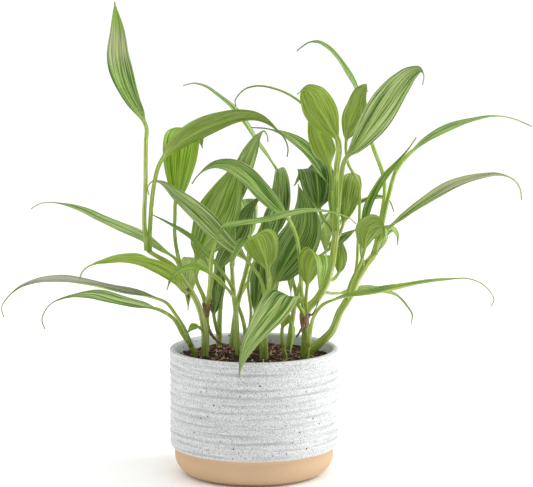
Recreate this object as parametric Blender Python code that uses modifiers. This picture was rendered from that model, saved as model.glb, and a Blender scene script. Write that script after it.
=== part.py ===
# Potted pothos: a leafy house plant in a ribbed, two-tone ceramic pot.
#
# The front is -Y and up is +Z. The origin is the centre of the pot's flat underside.
# Sizes are in millimetres. Stems and leaves are written as they are seen from the front
# and slightly above: across from the pot's axis, up from its foot, and the depth behind
# the axis, with the near side negative. from_view turns that into a point in space.

import math
from collections import namedtuple

import bmesh
import bpy
from mathutils import Vector
from mathutils.geometry import interpolate_bezier

MM = 0.001

# The front view: where the eye stands, and the point that it looks at
EYE_DISTANCE = 2554.0
EYE_HEIGHT = 615.0
EYE_PITCH = math.radians(8.5)
CENTRE_ACROSS = 12.5
CENTRE_UP = 228.5

# The pot
POT_HEIGHT = 128.0
POT_RADIUS = 85.0
POT_INSIDE = 79.0
POT_FLOOR = 8.0
RIM_ROUND = 2.5
RIBS = 12
RIBS_FROM = 31.5
RIB_PITCH = 7.6
RIB_DEPTH = 0.9
RIB_CREST = 0.35
STEP_TOP = 30.0
STEP_BOTTOM = 25.0
FOOT_RADIUS = 80.0
FOOT_ROUND = 20.0
INNER_ROUND = 14.0
TURN_STEPS = 36

# The soil
SOIL_RADIUS = 78.7
SOIL_BOTTOM = 8.3
SOIL_EDGE = 116.0
SOIL_RINGS = (68.0, 56.0, 44.0, 32.0, 20.0, 9.0)
MOUND_HEIGHT = 7.0
MOUND_WIDTH = 44.0
LUMP_HEIGHT = 0.9

# Stems in their holes
ROOTED_LENGTH = 26.0
FREE_ABOVE_SOIL = 4.0
HOLE_GAP = 0.35
HOLE_SIDES = 8

# Leaves
BLADE_THICKNESS = 0.9
RIB_THICKNESS = 0.5
TIP_HALF_WIDTH = 0.5
TAIL_TAPER = 1.5
WIDTH_POWER = 2.25
BLEND_LENGTH = 0.12
BLADE_REACH = 20.0
PETIOLE_REACH = 42.0
BEND_REACH = math.radians(27)
CURVE_STEPS = 12

# fold is the rise of each half of the blade's V in degrees, faces is where its upper side
# looks, tail is the share of the blade's length that is only a thin drip tip, widest is the
# share where it is widest, and stalk is the petiole's radius
Leaf = namedtuple("Leaf", "petiole blade width faces fold tail widest stalk",
                  defaults=(14, 0.0, 1.0 / 3.0, 1.5))
Cane = namedtuple("Cane", "points thick thin")
Root = namedtuple("Root", "points thick thin")
Stem = namedtuple("Stem", "name cane leaves roots", defaults=((),))

EDGE_ON = (0, -0.2, 0.98)

STEMS = (
    Stem(
        "stem_left_tall",
        Cane([(-49, 115, -5), (-50, 144, -6), (-54, 162, -8), (-68, 189, -12), (-82, 207, -16),
              (-99, 217, -21), (-107, 222, -24)], 3.3, 2.3),
        [
            # the tall leaf at the upper left
            Leaf([(-107, 222, -24), (-109.5, 245, -27), (-108.5, 290, -29), (-108, 332, -28)],
                 [(-107.5, 344, -26), (-113, 356, -22), (-123, 372, -15), (-132, 392, -6),
                  (-136.6, 412, 3), (-137.5, 442, 14), (-139.4, 470, 24)],
                 26, (0.5, -0.85, 0.1), widest=0.48, stalk=2.1),
            # the leaf that arches to the right and shows its underside
            Leaf([(-105, 221, -24), (-104, 245, -28), (-100, 287, -30), (-97, 301, -28)],
                 [(-94, 309, -26), (-74, 330, -20), (-54, 342, -15), (-34, 350.5, -11), (-14, 355.5, -9),
                  (2, 355, -8), (12, 351, -6), (21, 344, -5), (28.5, 336.5, -4), (33, 328, -4),
                  (34, 322, -4), (33, 315, -4)],
                 25, (0, 0.82, 0.57), 9, 0.14, widest=0.36, stalk=2.1),
            # the bright upright leaf behind it
            Leaf([(-70, 192, -12), (-74, 208, -4), (-78, 226, 2), (-79.5, 247, 6), (-79, 256, 8)],
                 [(-79, 266, 8), (-75.5, 284, 8), (-74, 302, 9), (-72, 320, 12), (-70, 335, 20),
                  (-66, 342, 36), (-61, 342, 54), (-55, 335, 70), (-51.5, 324, 80)],
                 38, (-0.3, -0.95, 0), widest=0.45, stalk=1.8),
            # the front leaf, low at the left
            Leaf([(-65, 178, -11), (-67, 179, -16)],
                 [(-70, 181, -20), (-77, 187, -26), (-88, 194, -35), (-101, 201, -46), (-116, 207.5, -58),
                  (-131, 210, -68), (-148, 209, -78), (-158, 208, -83), (-166, 205, -87),
                  (-172, 199, -90), (-174, 193, -91)],
                 28, (0, -0.06, 1), 38, 0.1, widest=0.38, stalk=1.8),
            # the long leaf above it
            Leaf([(-72, 196, -13), (-75, 206, -9)],
                 [(-77, 211, -7), (-94, 222.5, -3), (-114, 235, 4), (-134, 244, 14), (-154, 252.5, 26),
                  (-171, 261, 36), (-190, 267.5, 46), (-207, 269.5, 54), (-216, 267.5, 58),
                  (-223, 263, 60)],
                 19, EDGE_ON, 14, 0.12, widest=0.42),
            # the small sheath leaf near the soil
            Leaf([(-50, 141, -6), (-53, 144, -10)],
                 [(-54, 144.5, -12), (-60, 145, -18), (-67, 139, -24)], 10, (0, -0.5, 0.8)),
        ],
        # the dried end of an old petiole
        [Root([(-66, 186, -11), (-66, 179, -16), (-65, 172, -19)], 1.6, 0.9)],
    ),
    Stem(
        "stem_left_low",
        Cane([(-59, 115, -4), (-62, 124, -6), (-66, 133, -8)], 2.9, 2.0),
        [
            Leaf([(-63, 126, -7), (-68, 140, -12), (-80, 160, -22)],
                 [(-87, 169, -28), (-104, 175, -39), (-134, 180, -54), (-164, 187, -68), (-194, 191, -80),
                  (-218, 190, -88), (-235, 184, -92), (-246, 175, -94), (-252.5, 163, -95),
                  (-250, 155, -95)],
                 27, (0, -0.16, 0.98), 14, 0.1, widest=0.42, stalk=1.9),
            Leaf([(-65, 130, -8), (-70, 136, -9), (-81, 154, -10)],
                 [(-94, 162, -8), (-114, 165.5, 0), (-139, 170, 12), (-164, 176, 24), (-179, 175.5, 32),
                  (-192, 173, 38), (-202, 169, 42), (-209, 161, 45), (-212, 152, 46), (-209, 143, 46)],
                 26, EDGE_ON, 14, 0.18, widest=0.42, stalk=1.9),
        ],
    ),
    Stem(
        "stem_curl",
        Cane([(-48, 121, 20), (-47.5, 144, 13), (-47, 165, 4), (-45, 174, -3)], 3.2, 2.4),
        [
            # the long leaf that curls across the front
            Leaf([(-45.5, 172, -2), (-44, 187, -14), (-43, 210, -28)],
                 [(-41, 222, -38), (-37, 235, -47), (-32, 243, -52), (-14, 247, -58), (8, 250.5, -62),
                  (31, 256, -62), (51, 260, -60), (71, 260.5, -56), (86, 257.5, -52), (96, 253.5, -50),
                  (102, 248, -50)],
                 16, (0, -0.25, 0.97), widest=0.4, stalk=2.3),
            # the broadest leaf
            Leaf([(-47, 160, 6), (-50, 174, 7), (-57, 190, 7)],
                 [(-59, 210, 6), (-53, 222, 6), (-43, 240, 6), (-33, 262, 6), (-23.5, 286, 7),
                  (-16, 304, 8), (-10, 314, 9)],
                 44, (-0.2, -0.95, 0.2), 11, widest=0.42, stalk=1.9),
            # the dark leaf behind it
            Leaf([(-47.3, 156, 8), (-45, 172, 16), (-42, 188, 20)],
                 [(-40, 197, 20), (-26, 222, 22), (-14, 242, 24), (-9, 256, 24), (-1, 268, 24),
                  (10, 279, 24)],
                 20, (0.2, -0.9, 0.3), widest=0.42),
        ],
        [Root([(-47.5, 149, 11), (-42, 137, 17), (-33, 129, 25), (-27, 126.5, 28)], 1.4, 0.8)],
    ),
    Stem(
        "stem_front_arch",
        Cane([(-7, 115, -12), (-8, 122, -13), (-8.5, 130, -15)], 2.5, 1.9),
        [
            Leaf([(-8, 126, -14), (-9, 142, -18), (-15, 164, -28)],
                 [(-21, 176, -36), (-34, 189, -48), (-48, 200, -58), (-62, 203.5, -66), (-74, 200, -72),
                  (-83, 192, -76), (-87, 182, -78)],
                 20, EDGE_ON, widest=0.42, stalk=1.9),
            # the streaked leaf behind
            Leaf([(-8, 124, -13), (-3, 157, -6), (-5.5, 193, 3), (0, 210, 8)],
                 [(8, 222, 10), (13, 238, 12), (18, 255, 12), (22, 270, 12), (25, 286, 12)],
                 17, (-0.2, -0.95, 0.1), widest=0.45),
        ],
    ),
    Stem(
        "stem_streak",
        Cane([(10, 112, -21), (10, 126, -22), (10, 141, -24), (11, 160, -28)], 4.2, 2.2),
        [
            # the long streaked leaf that leans to the left
            Leaf([(11, 158, -27.5), (10, 177, -29), (8, 189, -29)],
                 [(-4, 208, -28), (-29, 232, -28), (-54, 257, -28), (-76, 276, -26), (-94, 290, -19),
                  (-101, 291, -15), (-106, 285, -14), (-105, 277, -14)],
                 20, (-0.2, -0.7, 0.6), 14, 0.1, widest=0.44),
            # the hooded leaf
            Leaf([(11, 159, -28), (14, 172, -34), (15, 186, -40)],
                 [(14, 200, -46), (8, 222, -56), (1, 234, -68), (-9, 229, -80), (-17, 218, -86),
                  (-23, 204, -88)],
                 36, (0.1, 0.88, 0.47), widest=0.42, stalk=2.2),
        ],
    ),
    Stem(
        "stem_small_front",
        Cane([(31, 111, -20), (30, 120, -22), (29, 132, -25)], 2.2, 1.6),
        [
            Leaf([(29.5, 126, -23), (28, 136, -28)],
                 [(28, 142, -32), (30, 152, -39), (34, 155, -48), (37.5, 148, -56), (38, 134, -60),
                  (36, 118, -61)],
                 15, (0, 0.8, 0.6), widest=0.42),
        ],
    ),
    Stem(
        "stem_right_tall",
        Cane([(51, 115, -3), (52, 139, -5), (51, 157, -8), (54.5, 164, -8), (63, 173, -8), (72, 188, -6),
              (77, 204, -4), (81, 232, 0), (82, 246, 0)], 4.2, 3.2),
        [
            # the leaf that leans to the left over the middle
            Leaf([(51, 158, -8), (48, 174, -16), (46, 210, -24), (42, 236, -28)],
                 [(35, 252, -30), (19, 268, -32), (4, 283, -34), (-8, 295.5, -34), (-22, 305, -34),
                  (-39, 307, -34), (-51, 301, -34), (-58, 294, -34), (-62, 288, -34)],
                 22, (0, -0.62, 0.75), 14, 0.08, widest=0.42, stalk=2.0),
            # the leaf that droops over the rim
            Leaf([(51, 156, -8), (48, 161, -18)],
                 [(45, 166, -27), (38, 174, -42), (31, 176, -55), (22, 164, -70), (9, 147, -82),
                  (-5, 126, -92), (-12, 110, -98), (-15, 94, -102)],
                 34, (-0.2, -0.75, 0.6), 10, widest=0.36, stalk=1.9),
            # the folded leaf beside the cane
            Leaf([(51.5, 160, -8), (52, 174, -18)],
                 [(53, 184, -22), (55, 200, -28), (59, 213, -36), (64, 217, -46), (67.5, 208, -54),
                  (67, 195, -57), (65, 181, -58)],
                 28, (0, 0.85, 0.5), widest=0.46),
            # the long arching leaf with a thin tip, behind
            Leaf([(82, 240, 0), (80, 262, 9), (78, 278, 13)],
                 [(75, 286, 14), (67, 301, 18), (57, 316, 22), (45, 328, 24), (31, 337, 24),
                  (14, 343, 22), (-3, 344.5, 20)],
                 18, (0.2, -0.5, 0.8), 14, 0.15, widest=0.4),
            # the bright leaf that shows its underside
            Leaf([(82, 243, 0), (82, 275, -5), (83, 307, -8), (85, 322, -10)],
                 [(84, 331, -12), (75, 346, -15), (66, 362, -17), (58, 376, -20), (51, 382.5, -27),
                  (43.5, 378, -36)],
                 33, (0.1, 0.97, -0.1), 11, 0.05, widest=0.5, stalk=3.0),
            # the big streaked leaf at the upper right
            Leaf([(82, 244, 0), (84.5, 268, 2), (87, 291, 0)],
                 [(90.5, 311, -4), (104, 327.5, -12), (122, 352.5, -25), (135, 371.5, -34),
                  (147, 388, -44), (158, 399, -52), (167, 402.5, -60), (170, 396, -67), (168.5, 387, -71)],
                 31, (-0.25, -0.9, 0.25), 12, 0.07, widest=0.5, stalk=2.3),
            # the leaf behind them, with a hair-thin tail
            Leaf([(82, 242, 0), (76, 272, 8), (77, 287, 7)],
                 [(76, 302, 6), (71, 320, 6), (64, 338, 8), (58, 356, 12), (49, 367.5, 16), (36, 377, 20),
                  (22, 383, 22), (2, 386, 22), (-8, 383.5, 22), (-15.5, 377, 20), (-19, 371, 18),
                  (-18, 366, 16)],
                 24, (0, 0.95, -0.2), 12, 0.52, stalk=1.8),
            # the dark striped leaf
            Leaf([(81.5, 236, 0), (75, 246, 8), (69, 254, 12)],
                 [(66, 260, 14), (64, 282, 14), (61, 300, 19), (57, 304, 28), (49, 297, 36),
                  (40, 286, 40)],
                 35, (0.1, -0.95, 0.2), widest=0.45),
            # three leaves behind the cane
            Leaf([(74, 193, -5), (80, 193, 6)],
                 [(84, 198, 12), (87, 214, 16), (88, 232, 18)],
                 13, (0, 0.9, 0.2), widest=0.45),
            Leaf([(81, 230, 0), (86, 239, 14)],
                 [(89, 247, 22), (92, 262, 25), (95, 281, 28), (98, 294, 34), (100, 299, 44),
                  (101, 292, 54)],
                 24, (0.1, 0.9, -0.2), widest=0.48),
            Leaf([(82, 238, 0), (84, 246, 18), (90, 255, 32)],
                 [(99, 265, 37), (115, 272.5, 40), (126, 274.5, 41), (135, 271, 41), (140, 260, 41)],
                 10, (0, -0.3, 0.9)),
            # the low leaf that passes behind the second cane
            Leaf([(68, 181, -6), (72, 180, 6), (77, 179, 17)],
                 [(84, 179, 25), (96, 179.5, 34), (116, 181, 46), (131, 179.5, 54), (143, 176, 60),
                  (152, 166.5, 64), (158, 157, 66), (157, 148, 66)],
                 20, EDGE_ON, widest=0.4),
        ],
        [
            Root([(51, 152, -8), (48, 144, -13), (42, 134, -17)], 1.8, 0.9),
            Root([(55, 160, -8), (57, 157, -12), (62, 164, -14), (65, 173, -13)], 0.8, 0.6),
        ],
    ),
    Stem(
        "stem_right_spread",
        Cane([(57, 119, 13), (66, 129, 13), (78, 141, 12), (86, 160, 10), (98, 179, 8), (104, 193, 6),
              (114, 210, 2), (121, 218, 0)], 4.1, 3.2),
        [
            # the highest arching leaf
            Leaf([(120, 217, 0), (126, 247, 10), (130.5, 290, 22), (118, 329, 34)],
                 [(109, 364, 42), (103, 380, 44), (93, 399, 44), (83, 414, 42), (73, 424.5, 38),
                  (63.5, 430, 34), (55, 429.5, 31), (49, 426, 29), (43, 421, 27)],
                 14, (0.7, -0.3, 0.5), 14, 0.1, widest=0.42, stalk=2.2),
            # the upright leaf between the two bright ones
            Leaf([(98, 179, 8), (103, 210, 14), (104, 232, 16), (105.5, 262, 16), (104, 290, 14),
                  (94, 309, 12)],
                 [(92, 329, 10), (95, 347, 9), (100, 362, 8), (106, 379, 6), (112, 386, 0),
                  (113, 380, -5)],
                 27, (0.6, 0.75, 0), 14, 0.06, widest=0.46),
            # the folded leaf at the top of the cane
            Leaf([(120, 216, 1), (123, 225, 3)],
                 [(126, 231, 5), (131, 239, 8), (138, 242, 10), (143, 236, 10), (143.5, 227, 9)],
                 17, (0, -0.3, 0.9)),
            # the small leaf beside it, which shows its underside
            Leaf([(92, 170, 9), (97, 190, -4), (106, 208, -13)],
                 [(110, 220, -18), (111.5, 233, -24), (117, 244, -31), (126, 246.5, -38), (130, 237, -43),
                  (124, 220, -46)],
                 29, (-0.3, 0.85, 0.4), widest=0.5),
            # the long arching leaf at the far right
            Leaf([(119, 215, 0), (128, 248, 6), (135, 278, 9), (143, 303, 9)],
                 [(155, 318, 13), (165, 326, 17), (181, 336.5, 24), (201, 345.5, 33), (221, 352, 42),
                  (237, 355.5, 49), (249, 355.5, 54), (263, 352, 59), (278, 345.5, 63)],
                 15, (-0.3, -0.34, 0.88), 14, 0.2, widest=0.4, stalk=2.2),
            # the narrow leaf beside its petiole
            Leaf([(110, 204, 3), (107, 224, -6)],
                 [(108.5, 238, -9), (112, 254, -11), (120, 276, -13), (130, 293, -13), (141, 306, -12),
                  (150, 317, -11), (162.5, 334.5, -9)],
                 14, (-0.5, -0.4, 0.5), widest=0.3),
            # the leaf that arches out below it
            Leaf([(121, 218, 0), (126, 231, 0)],
                 [(133, 242, -2), (153, 257, -12), (167, 267, -19), (185, 278.5, -29), (201, 286.5, -38),
                  (217, 292.5, -45), (231, 296, -50), (243, 297.5, -54), (252, 296, -56), (261, 291, -58),
                  (266, 283, -59), (267.4, 272, -60)],
                 19, (-0.1, -0.52, 0.84), 14, 0.12, widest=0.4, stalk=2.2),
        ],
    ),
    Stem(
        "stem_right_low",
        Cane([(52, 110, -18), (53, 120, -20), (55, 132, -22)], 2.4, 1.8),
        [
            Leaf([(54, 126, -21), (56, 140, -23), (60, 156, -26)],
                 [(68, 167, -30), (81, 172.5, -38), (96, 176, -46), (116, 178, -56), (138, 182, -66),
                  (166, 188.5, -76), (191, 192, -84), (216, 193, -90), (228, 188, -92), (237, 179, -93),
                  (240, 172, -94), (237, 165.5, -94)],
                 23, (0, -0.13, 0.98), 14, 0.22, widest=0.42, stalk=1.9),
        ],
    ),
    Stem(
        "stem_centre_left",
        Cane([(-16, 114, -8), (-17, 135, -6), (-18, 157, -5), (-21, 187, -3), (-22, 208, 0)], 2.9, 2.0),
        [
            # the narrow leaf that leans to the far left
            Leaf([(-20.5, 182, -3), (-24, 189, -8)],
                 [(-31, 199, -14), (-44, 213, -17), (-62, 232, -17), (-78.5, 244, -14), (-91, 251.5, -13),
                  (-103, 258, -13)],
                 15, (0, -0.1, 1), widest=0.42),
            Leaf([(-22, 206, 0), (-20, 240, 8)],
                 [(-18, 262, 12), (-14, 285, 12), (-9, 304, 12), (-2, 322, 11), (5, 336, 9), (10, 341, 5),
                  (13.5, 336, 1), (14, 330, -1)],
                 22, (-0.5, -0.85, 0), 14, 0.12, widest=0.44, stalk=1.8),
        ],
    ),
    Stem(
        "stem_centre_mid",
        Cane([(4, 121, 25), (6, 150, 22), (12, 175, 16)], 2.8, 2.0),
        [
            Leaf([(11.5, 172, 16), (16, 181, 11)],
                 [(19, 187, 8), (36, 217, -2), (49, 242, -6), (51, 262, -8), (44, 288, -12)],
                 42, (0.1, -0.97, 0.1), 11, widest=0.42, stalk=2.1),
            Leaf([(11, 170, 17), (16, 198, 24), (19, 215, 26)],
                 [(22, 235, 26), (25, 254, 24), (27, 275, 22), (27.5, 292, 22), (26.5, 301, 27),
                  (25, 303, 35), (24, 297, 42)],
                 20, (-0.1, -0.95, 0.1), widest=0.45),
            # the dark leaf that shows between the stems
            Leaf([(5, 140, 23.5), (2, 150, 31)],
                 [(1, 158, 35), (4, 180, 40), (6, 200, 43), (9, 218, 44), (11, 232, 44)], 18,
                 (0, -0.95, 0.1), widest=0.45),
        ],
    ),
    Stem(
        "stem_back_long",
        Cane([(-22, 121, 36), (-18, 160, 42), (-8, 200, 48), (3, 236, 52)], 2.8, 2.0),
        [
            Leaf([(2, 233, 52), (18, 268, 54), (29, 288, 53)],
                 [(22, 304, 55), (6, 325, 58), (-11, 350, 61), (-24, 366, 63), (-37, 377, 65),
                  (-48, 385, 66), (-61, 388.5, 67), (-71, 386.5, 67)],
                 16, (0.6, -0.2, 0.75), widest=0.42),
            Leaf([(-8, 200, 48), (-6, 214, 58)],
                 [(-5, 228, 68), (-8, 252, 90), (-12, 268, 116), (-15, 272, 144), (-17, 258, 170),
                  (-18, 236, 186)],
                 30, (0, 0.6, 0.8), widest=0.42),
            Leaf([(-14, 176, 44), (-6, 190, 54)],
                 [(2, 200, 66), (8, 214, 90), (13, 216, 118), (16, 202, 144), (18, 176, 162),
                  (18, 156, 168)],
                 27, (0, 0.3, 0.9), widest=0.42),
        ],
    ),
    Stem(
        "stem_back_left",
        Cane([(-35, 122, 42), (-34, 160, 47), (-31, 190, 51)], 2.8, 2.0),
        [
            Leaf([(-31, 188, 51), (-31, 204, 58)],
                 [(-32, 218, 68), (-36, 242, 88), (-42, 256, 112), (-47, 256, 140), (-51, 240, 164),
                  (-53, 220, 178)],
                 32, (0, 0.6, 0.8), widest=0.42),
            Leaf([(-34, 165, 48), (-38, 182, 56)],
                 [(-42, 196, 66), (-50, 210, 88), (-57, 214, 112), (-62, 204, 136), (-65, 180, 152),
                  (-66, 162, 158)],
                 28, (-0.3, 0.4, 0.85), widest=0.42),
            # the dark leaf low between the stems
            Leaf([(-34.5, 136, 44), (-38, 146, 40)],
                 [(-40, 155, 38), (-38, 176, 36), (-34, 196, 36), (-29, 213, 37)], 16,
                 (0, -0.95, 0.1), widest=0.45),
        ],
    ),
    Stem(
        "stem_back_right",
        Cane([(35, 121, 45), (38, 150, 48), (44, 180, 51), (52, 204, 52)], 2.8, 2.0),
        [
            Leaf([(50, 199, 52), (52, 214, 60)],
                 [(54, 226, 70), (60, 246, 90), (65, 256, 114), (69, 254, 140), (71, 236, 162),
                  (72, 216, 174)],
                 32, (0.1, 0.6, 0.8), widest=0.42),
            Leaf([(43, 176, 50), (38, 196, 58)],
                 [(34, 212, 70), (33, 230, 94), (33, 236, 122), (34, 226, 150), (36, 200, 172),
                  (37, 176, 182)],
                 28, (0, 0.5, 0.85), widest=0.42),
            # the streaked leaf that passes behind the thick cane
            Leaf([(51, 202, 52), (66, 216, 47)],
                 [(74, 222, 45), (84, 230, 43), (94, 237, 41), (104, 244, 40)], 13, (-0.4, -0.8, 0.5)),
        ],
    ),
)


# Places in space

def from_view(across, up, depth):
    """The point at this depth that is seen at (across, up) from the front."""
    ahead = Vector((0, math.cos(EYE_PITCH), -math.sin(EYE_PITCH)))
    above = Vector((0, math.sin(EYE_PITCH), math.cos(EYE_PITCH)))
    eye = Vector((CENTRE_ACROSS, -EYE_DISTANCE, EYE_HEIGHT))
    sight = ahead * (EYE_DISTANCE / math.cos(EYE_PITCH))
    sight += above * (up - CENTRE_UP) + Vector((across - CENTRE_ACROSS, 0, 0))
    return eye + sight * ((depth - eye.y) / sight.y)


def soil_top(x, y):
    """Height of the soil's surface."""
    mound = MOUND_HEIGHT * math.exp(-((x + 8) ** 2 + (y - 4) ** 2) / (2 * MOUND_WIDTH ** 2))
    lumps = LUMP_HEIGHT * math.sin(0.23 * x + 1) * math.sin(0.27 * y + 0.14 * x)
    return SOIL_EDGE + mound + lumps


def foot_of(cane):
    """Where a cane stands on the soil."""
    seen = from_view(*cane.points[0])
    return Vector((seen.x, seen.y, soil_top(seen.x, seen.y)))


# Curves

def smooth_path(points):
    """A dense, smooth path through the points (Catmull-Rom, spaced by chord length)."""
    ends = [2 * points[0] - points[1], *points, 2 * points[-1] - points[-2]]
    path = [points[0]]
    for before, start, end, after in zip(ends, ends[1:], ends[2:], ends[3:]):
        chords = ((start - before).length, (end - start).length, (after - end).length)
        leave = slope_at(before, start, end, chords[0], chords[1]) * chords[1] / 3
        arrive = slope_at(start, end, after, chords[1], chords[2]) * chords[1] / 3
        path += interpolate_bezier(start, start + leave, end - arrive, end, CURVE_STEPS + 1)[1:]
    return path


def slope_at(before, here, after, back, ahead):
    """Slope of the smooth path at a point between two others."""
    return (here - before) / back - (after - before) / (back + ahead) + (after - here) / ahead


def tangents_of(path):
    """Unit direction of the path at each of its points."""
    around = zip([path[0], *path[:-1]], [*path[1:], path[-1]])
    return [(ahead - behind).normalized() for behind, ahead in around]


def carried_normals(tangents, seed, faces):
    """Normals that start at faces at the seed and turn no more than the path does."""
    along = tangents[seed]
    normals = [None] * len(tangents)
    normals[seed] = (faces - along * faces.dot(along)).normalized()
    for order in (range(seed + 1, len(tangents)), range(seed - 1, -1, -1)):
        last = seed
        for index in order:
            turn = tangents[last].rotation_difference(tangents[index])
            normals[index] = turn @ normals[last]
            last = index
    return normals


def kept_samples(path, tangents, first, last, reach):
    """Samples a loft needs between two of them: one for each reach of length or of bend."""
    kept = [first]
    spent = 0.0
    for index in range(first + 1, last + 1):
        spent += (path[index] - path[index - 1]).length / reach
        spent += tangents[index].angle(tangents[index - 1]) / BEND_REACH
        if spent >= 1 and index < last:
            kept.append(index)
            spent = 0.0
    return kept + [last]


def lengths_along(path):
    """Length of the path up to each of its points."""
    lengths = [0.0]
    for start, end in zip(path, path[1:]):
        lengths.append(lengths[-1] + (end - start).length)
    return lengths


# Leaves

def blade_width(share, widest):
    """Width of a blade along its length, 1 at its widest."""
    rise = (share / widest) ** (WIDTH_POWER * widest)
    fall = ((1 - share) / (1 - widest)) ** (WIDTH_POWER * (1 - widest))
    return rise * fall


def round_section(radius):
    """Six points round a petiole, from its left edge over the top."""
    angles = [math.radians(150 - 60 * step) for step in range(6)]
    return [Vector((math.cos(angle), math.sin(angle))) * radius for angle in angles]


def blade_section(half_width, fold, share):
    """Six points of a shallow V: left, middle and right above, then right, middle and left below."""
    edge = half_width * math.tan(fold)
    half = BLADE_THICKNESS / 2
    rib = half + RIB_THICKNESS * (1 - share)
    return [Vector(point) for point in (
        (-half_width, edge + half), (0, half), (half_width, edge + half),
        (half_width, edge - half), (0, -rib), (-half_width, edge - half))]


def skin(rings):
    """A closed mesh over rings of six points, with its quads split alike above and below."""
    mesh = bmesh.new()
    rows = [[mesh.verts.new(point * MM) for point in ring] for ring in rings]
    for back, front in zip(rows, rows[1:]):
        for side in range(6):
            after = (side + 1) % 6
            corners = (back[side], back[after], front[after], front[side])
            crossed = side in (1, 4)
            mesh.faces.new([corners[index] for index in ((0, 1, 3) if crossed else (0, 1, 2))])
            mesh.faces.new([corners[index] for index in ((1, 2, 3) if crossed else (0, 2, 3))])
    mesh.faces.new(reversed(rows[0]))
    mesh.faces.new(rows[-1])
    bmesh.ops.triangulate(mesh, faces=[face for face in mesh.faces if len(face.verts) > 4])
    return mesh


def leaf_mesh(leaf, root):
    """A petiole that grows out of its cane at root and widens into a blade, as one closed loft."""
    petiole = [from_view(*point) for point in leaf.petiole]
    path = smooth_path([root, *petiole[1:], *[from_view(*point) for point in leaf.blade]])
    tangents = tangents_of(path)
    base = CURVE_STEPS * len(petiole)
    lengths = lengths_along(path)
    blade_length = lengths[-1] - lengths[base]
    widest = lengths[base] + blade_length * leaf.widest
    seed = next(index for index, length in enumerate(lengths) if length > widest)
    normals = carried_normals(tangents, seed, Vector(leaf.faces))
    kept = kept_samples(path, tangents, 0, base, PETIOLE_REACH)
    kept += kept_samples(path, tangents, base, len(path) - 1, BLADE_REACH)[1:]
    rings = []
    for index in kept:
        share = max(0.0, (lengths[index] - lengths[base]) / blade_length)
        section = leaf_section(leaf, share)
        across = tangents[index].cross(normals[index])
        rings.append([path[index] + across * point.x + normals[index] * point.y for point in section])
    return skin(rings)


def leaf_section(leaf, share):
    """Section of a leaf at a share of its blade's length: round at the petiole, then a V."""
    petiole = round_section(leaf.stalk)
    if share <= 0:
        return petiole
    broad = blade_width(min(1.0, share / (1 - leaf.tail)), leaf.widest)
    half_width = max(TIP_HALF_WIDTH + TAIL_TAPER * (1 - share), broad * leaf.width / 2)
    blade = blade_section(half_width, math.radians(leaf.fold), share)
    mix = min(1.0, share / BLEND_LENGTH)
    return [old.lerp(new, mix) for old, new in zip(petiole, blade)]


# Objects

def material(name, colour, roughness):
    """A plain surface in the part's colour."""
    made = bpy.data.materials.new(name)
    made.use_nodes = True
    surface = made.node_tree.nodes["Principled BSDF"]
    surface.inputs["Base Color"].default_value = (*colour, 1)
    surface.inputs["Roughness"].default_value = roughness
    surface.inputs["Metallic"].default_value = 0
    return made


def add_object(name, data, group):
    """A new object in a collection."""
    made = bpy.data.objects.new(name, data)
    group.objects.link(made)
    return made


def mesh_object(name, shape, group):
    """An object from a bmesh, which is used up."""
    data = bpy.data.meshes.new(name)
    shape.to_mesh(data)
    shape.free()
    return add_object(name, data, group)


def as_mesh(made, group):
    """The object as a plain mesh object of the same name; the first one is removed."""
    name = made.name
    shape = evaluated_shape(made)
    bpy.data.objects.remove(made)
    return mesh_object(name, shape, group)


def evaluated_shape(made):
    """The object's evaluated mesh as a bmesh, with its loose caps welded on."""
    bpy.context.view_layer.update()
    graph = bpy.context.evaluated_depsgraph_get()
    data = bpy.data.meshes.new_from_object(made.evaluated_get(graph))
    shape = bmesh.new()
    shape.from_mesh(data)
    bmesh.ops.remove_doubles(shape, verts=shape.verts, dist=0.00001)
    bpy.data.meshes.remove(data)
    return shape


def tube(name, path, thick, thin, group):
    """A closed tube along the path that tapers from thick to thin radius."""
    data = bpy.data.curves.new(name, "CURVE")
    data.dimensions = "3D"
    data.bevel_depth = MM
    data.bevel_resolution = 1
    data.use_fill_caps = True
    spline = data.splines.new("POLY")
    spline.points.add(len(path) - 1)
    for index, (point, place) in enumerate(zip(spline.points, path)):
        point.co = (*(place * MM), 1)
        point.radius = thick + (thin - thick) * index / (len(path) - 1)
    return as_mesh(add_object(name, data, group), group)


def turned(name, profile, group):
    """A solid turned round the Z axis from its profile of (radius, height)."""
    shape = bmesh.new()
    points = [shape.verts.new((radius * MM, 0, height * MM)) for radius, height in profile]
    for start, end in zip(points, points[1:]):
        shape.edges.new((start, end))
    made = mesh_object(name, shape, group)
    screw = made.modifiers.new("turn", "SCREW")
    screw.steps = TURN_STEPS
    screw.render_steps = TURN_STEPS
    screw.use_merge_vertices = True
    screw.merge_threshold = 0.00001
    return made


def arc(centre, radius, start, end, steps):
    """Points on an arc in the profile's plane; angles in degrees, 0 outward and 90 up."""
    angles = [math.radians(start + (end - start) * step / steps) for step in range(steps + 1)]
    return [(centre[0] + radius * math.cos(a), centre[1] + radius * math.sin(a)) for a in angles]


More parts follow.
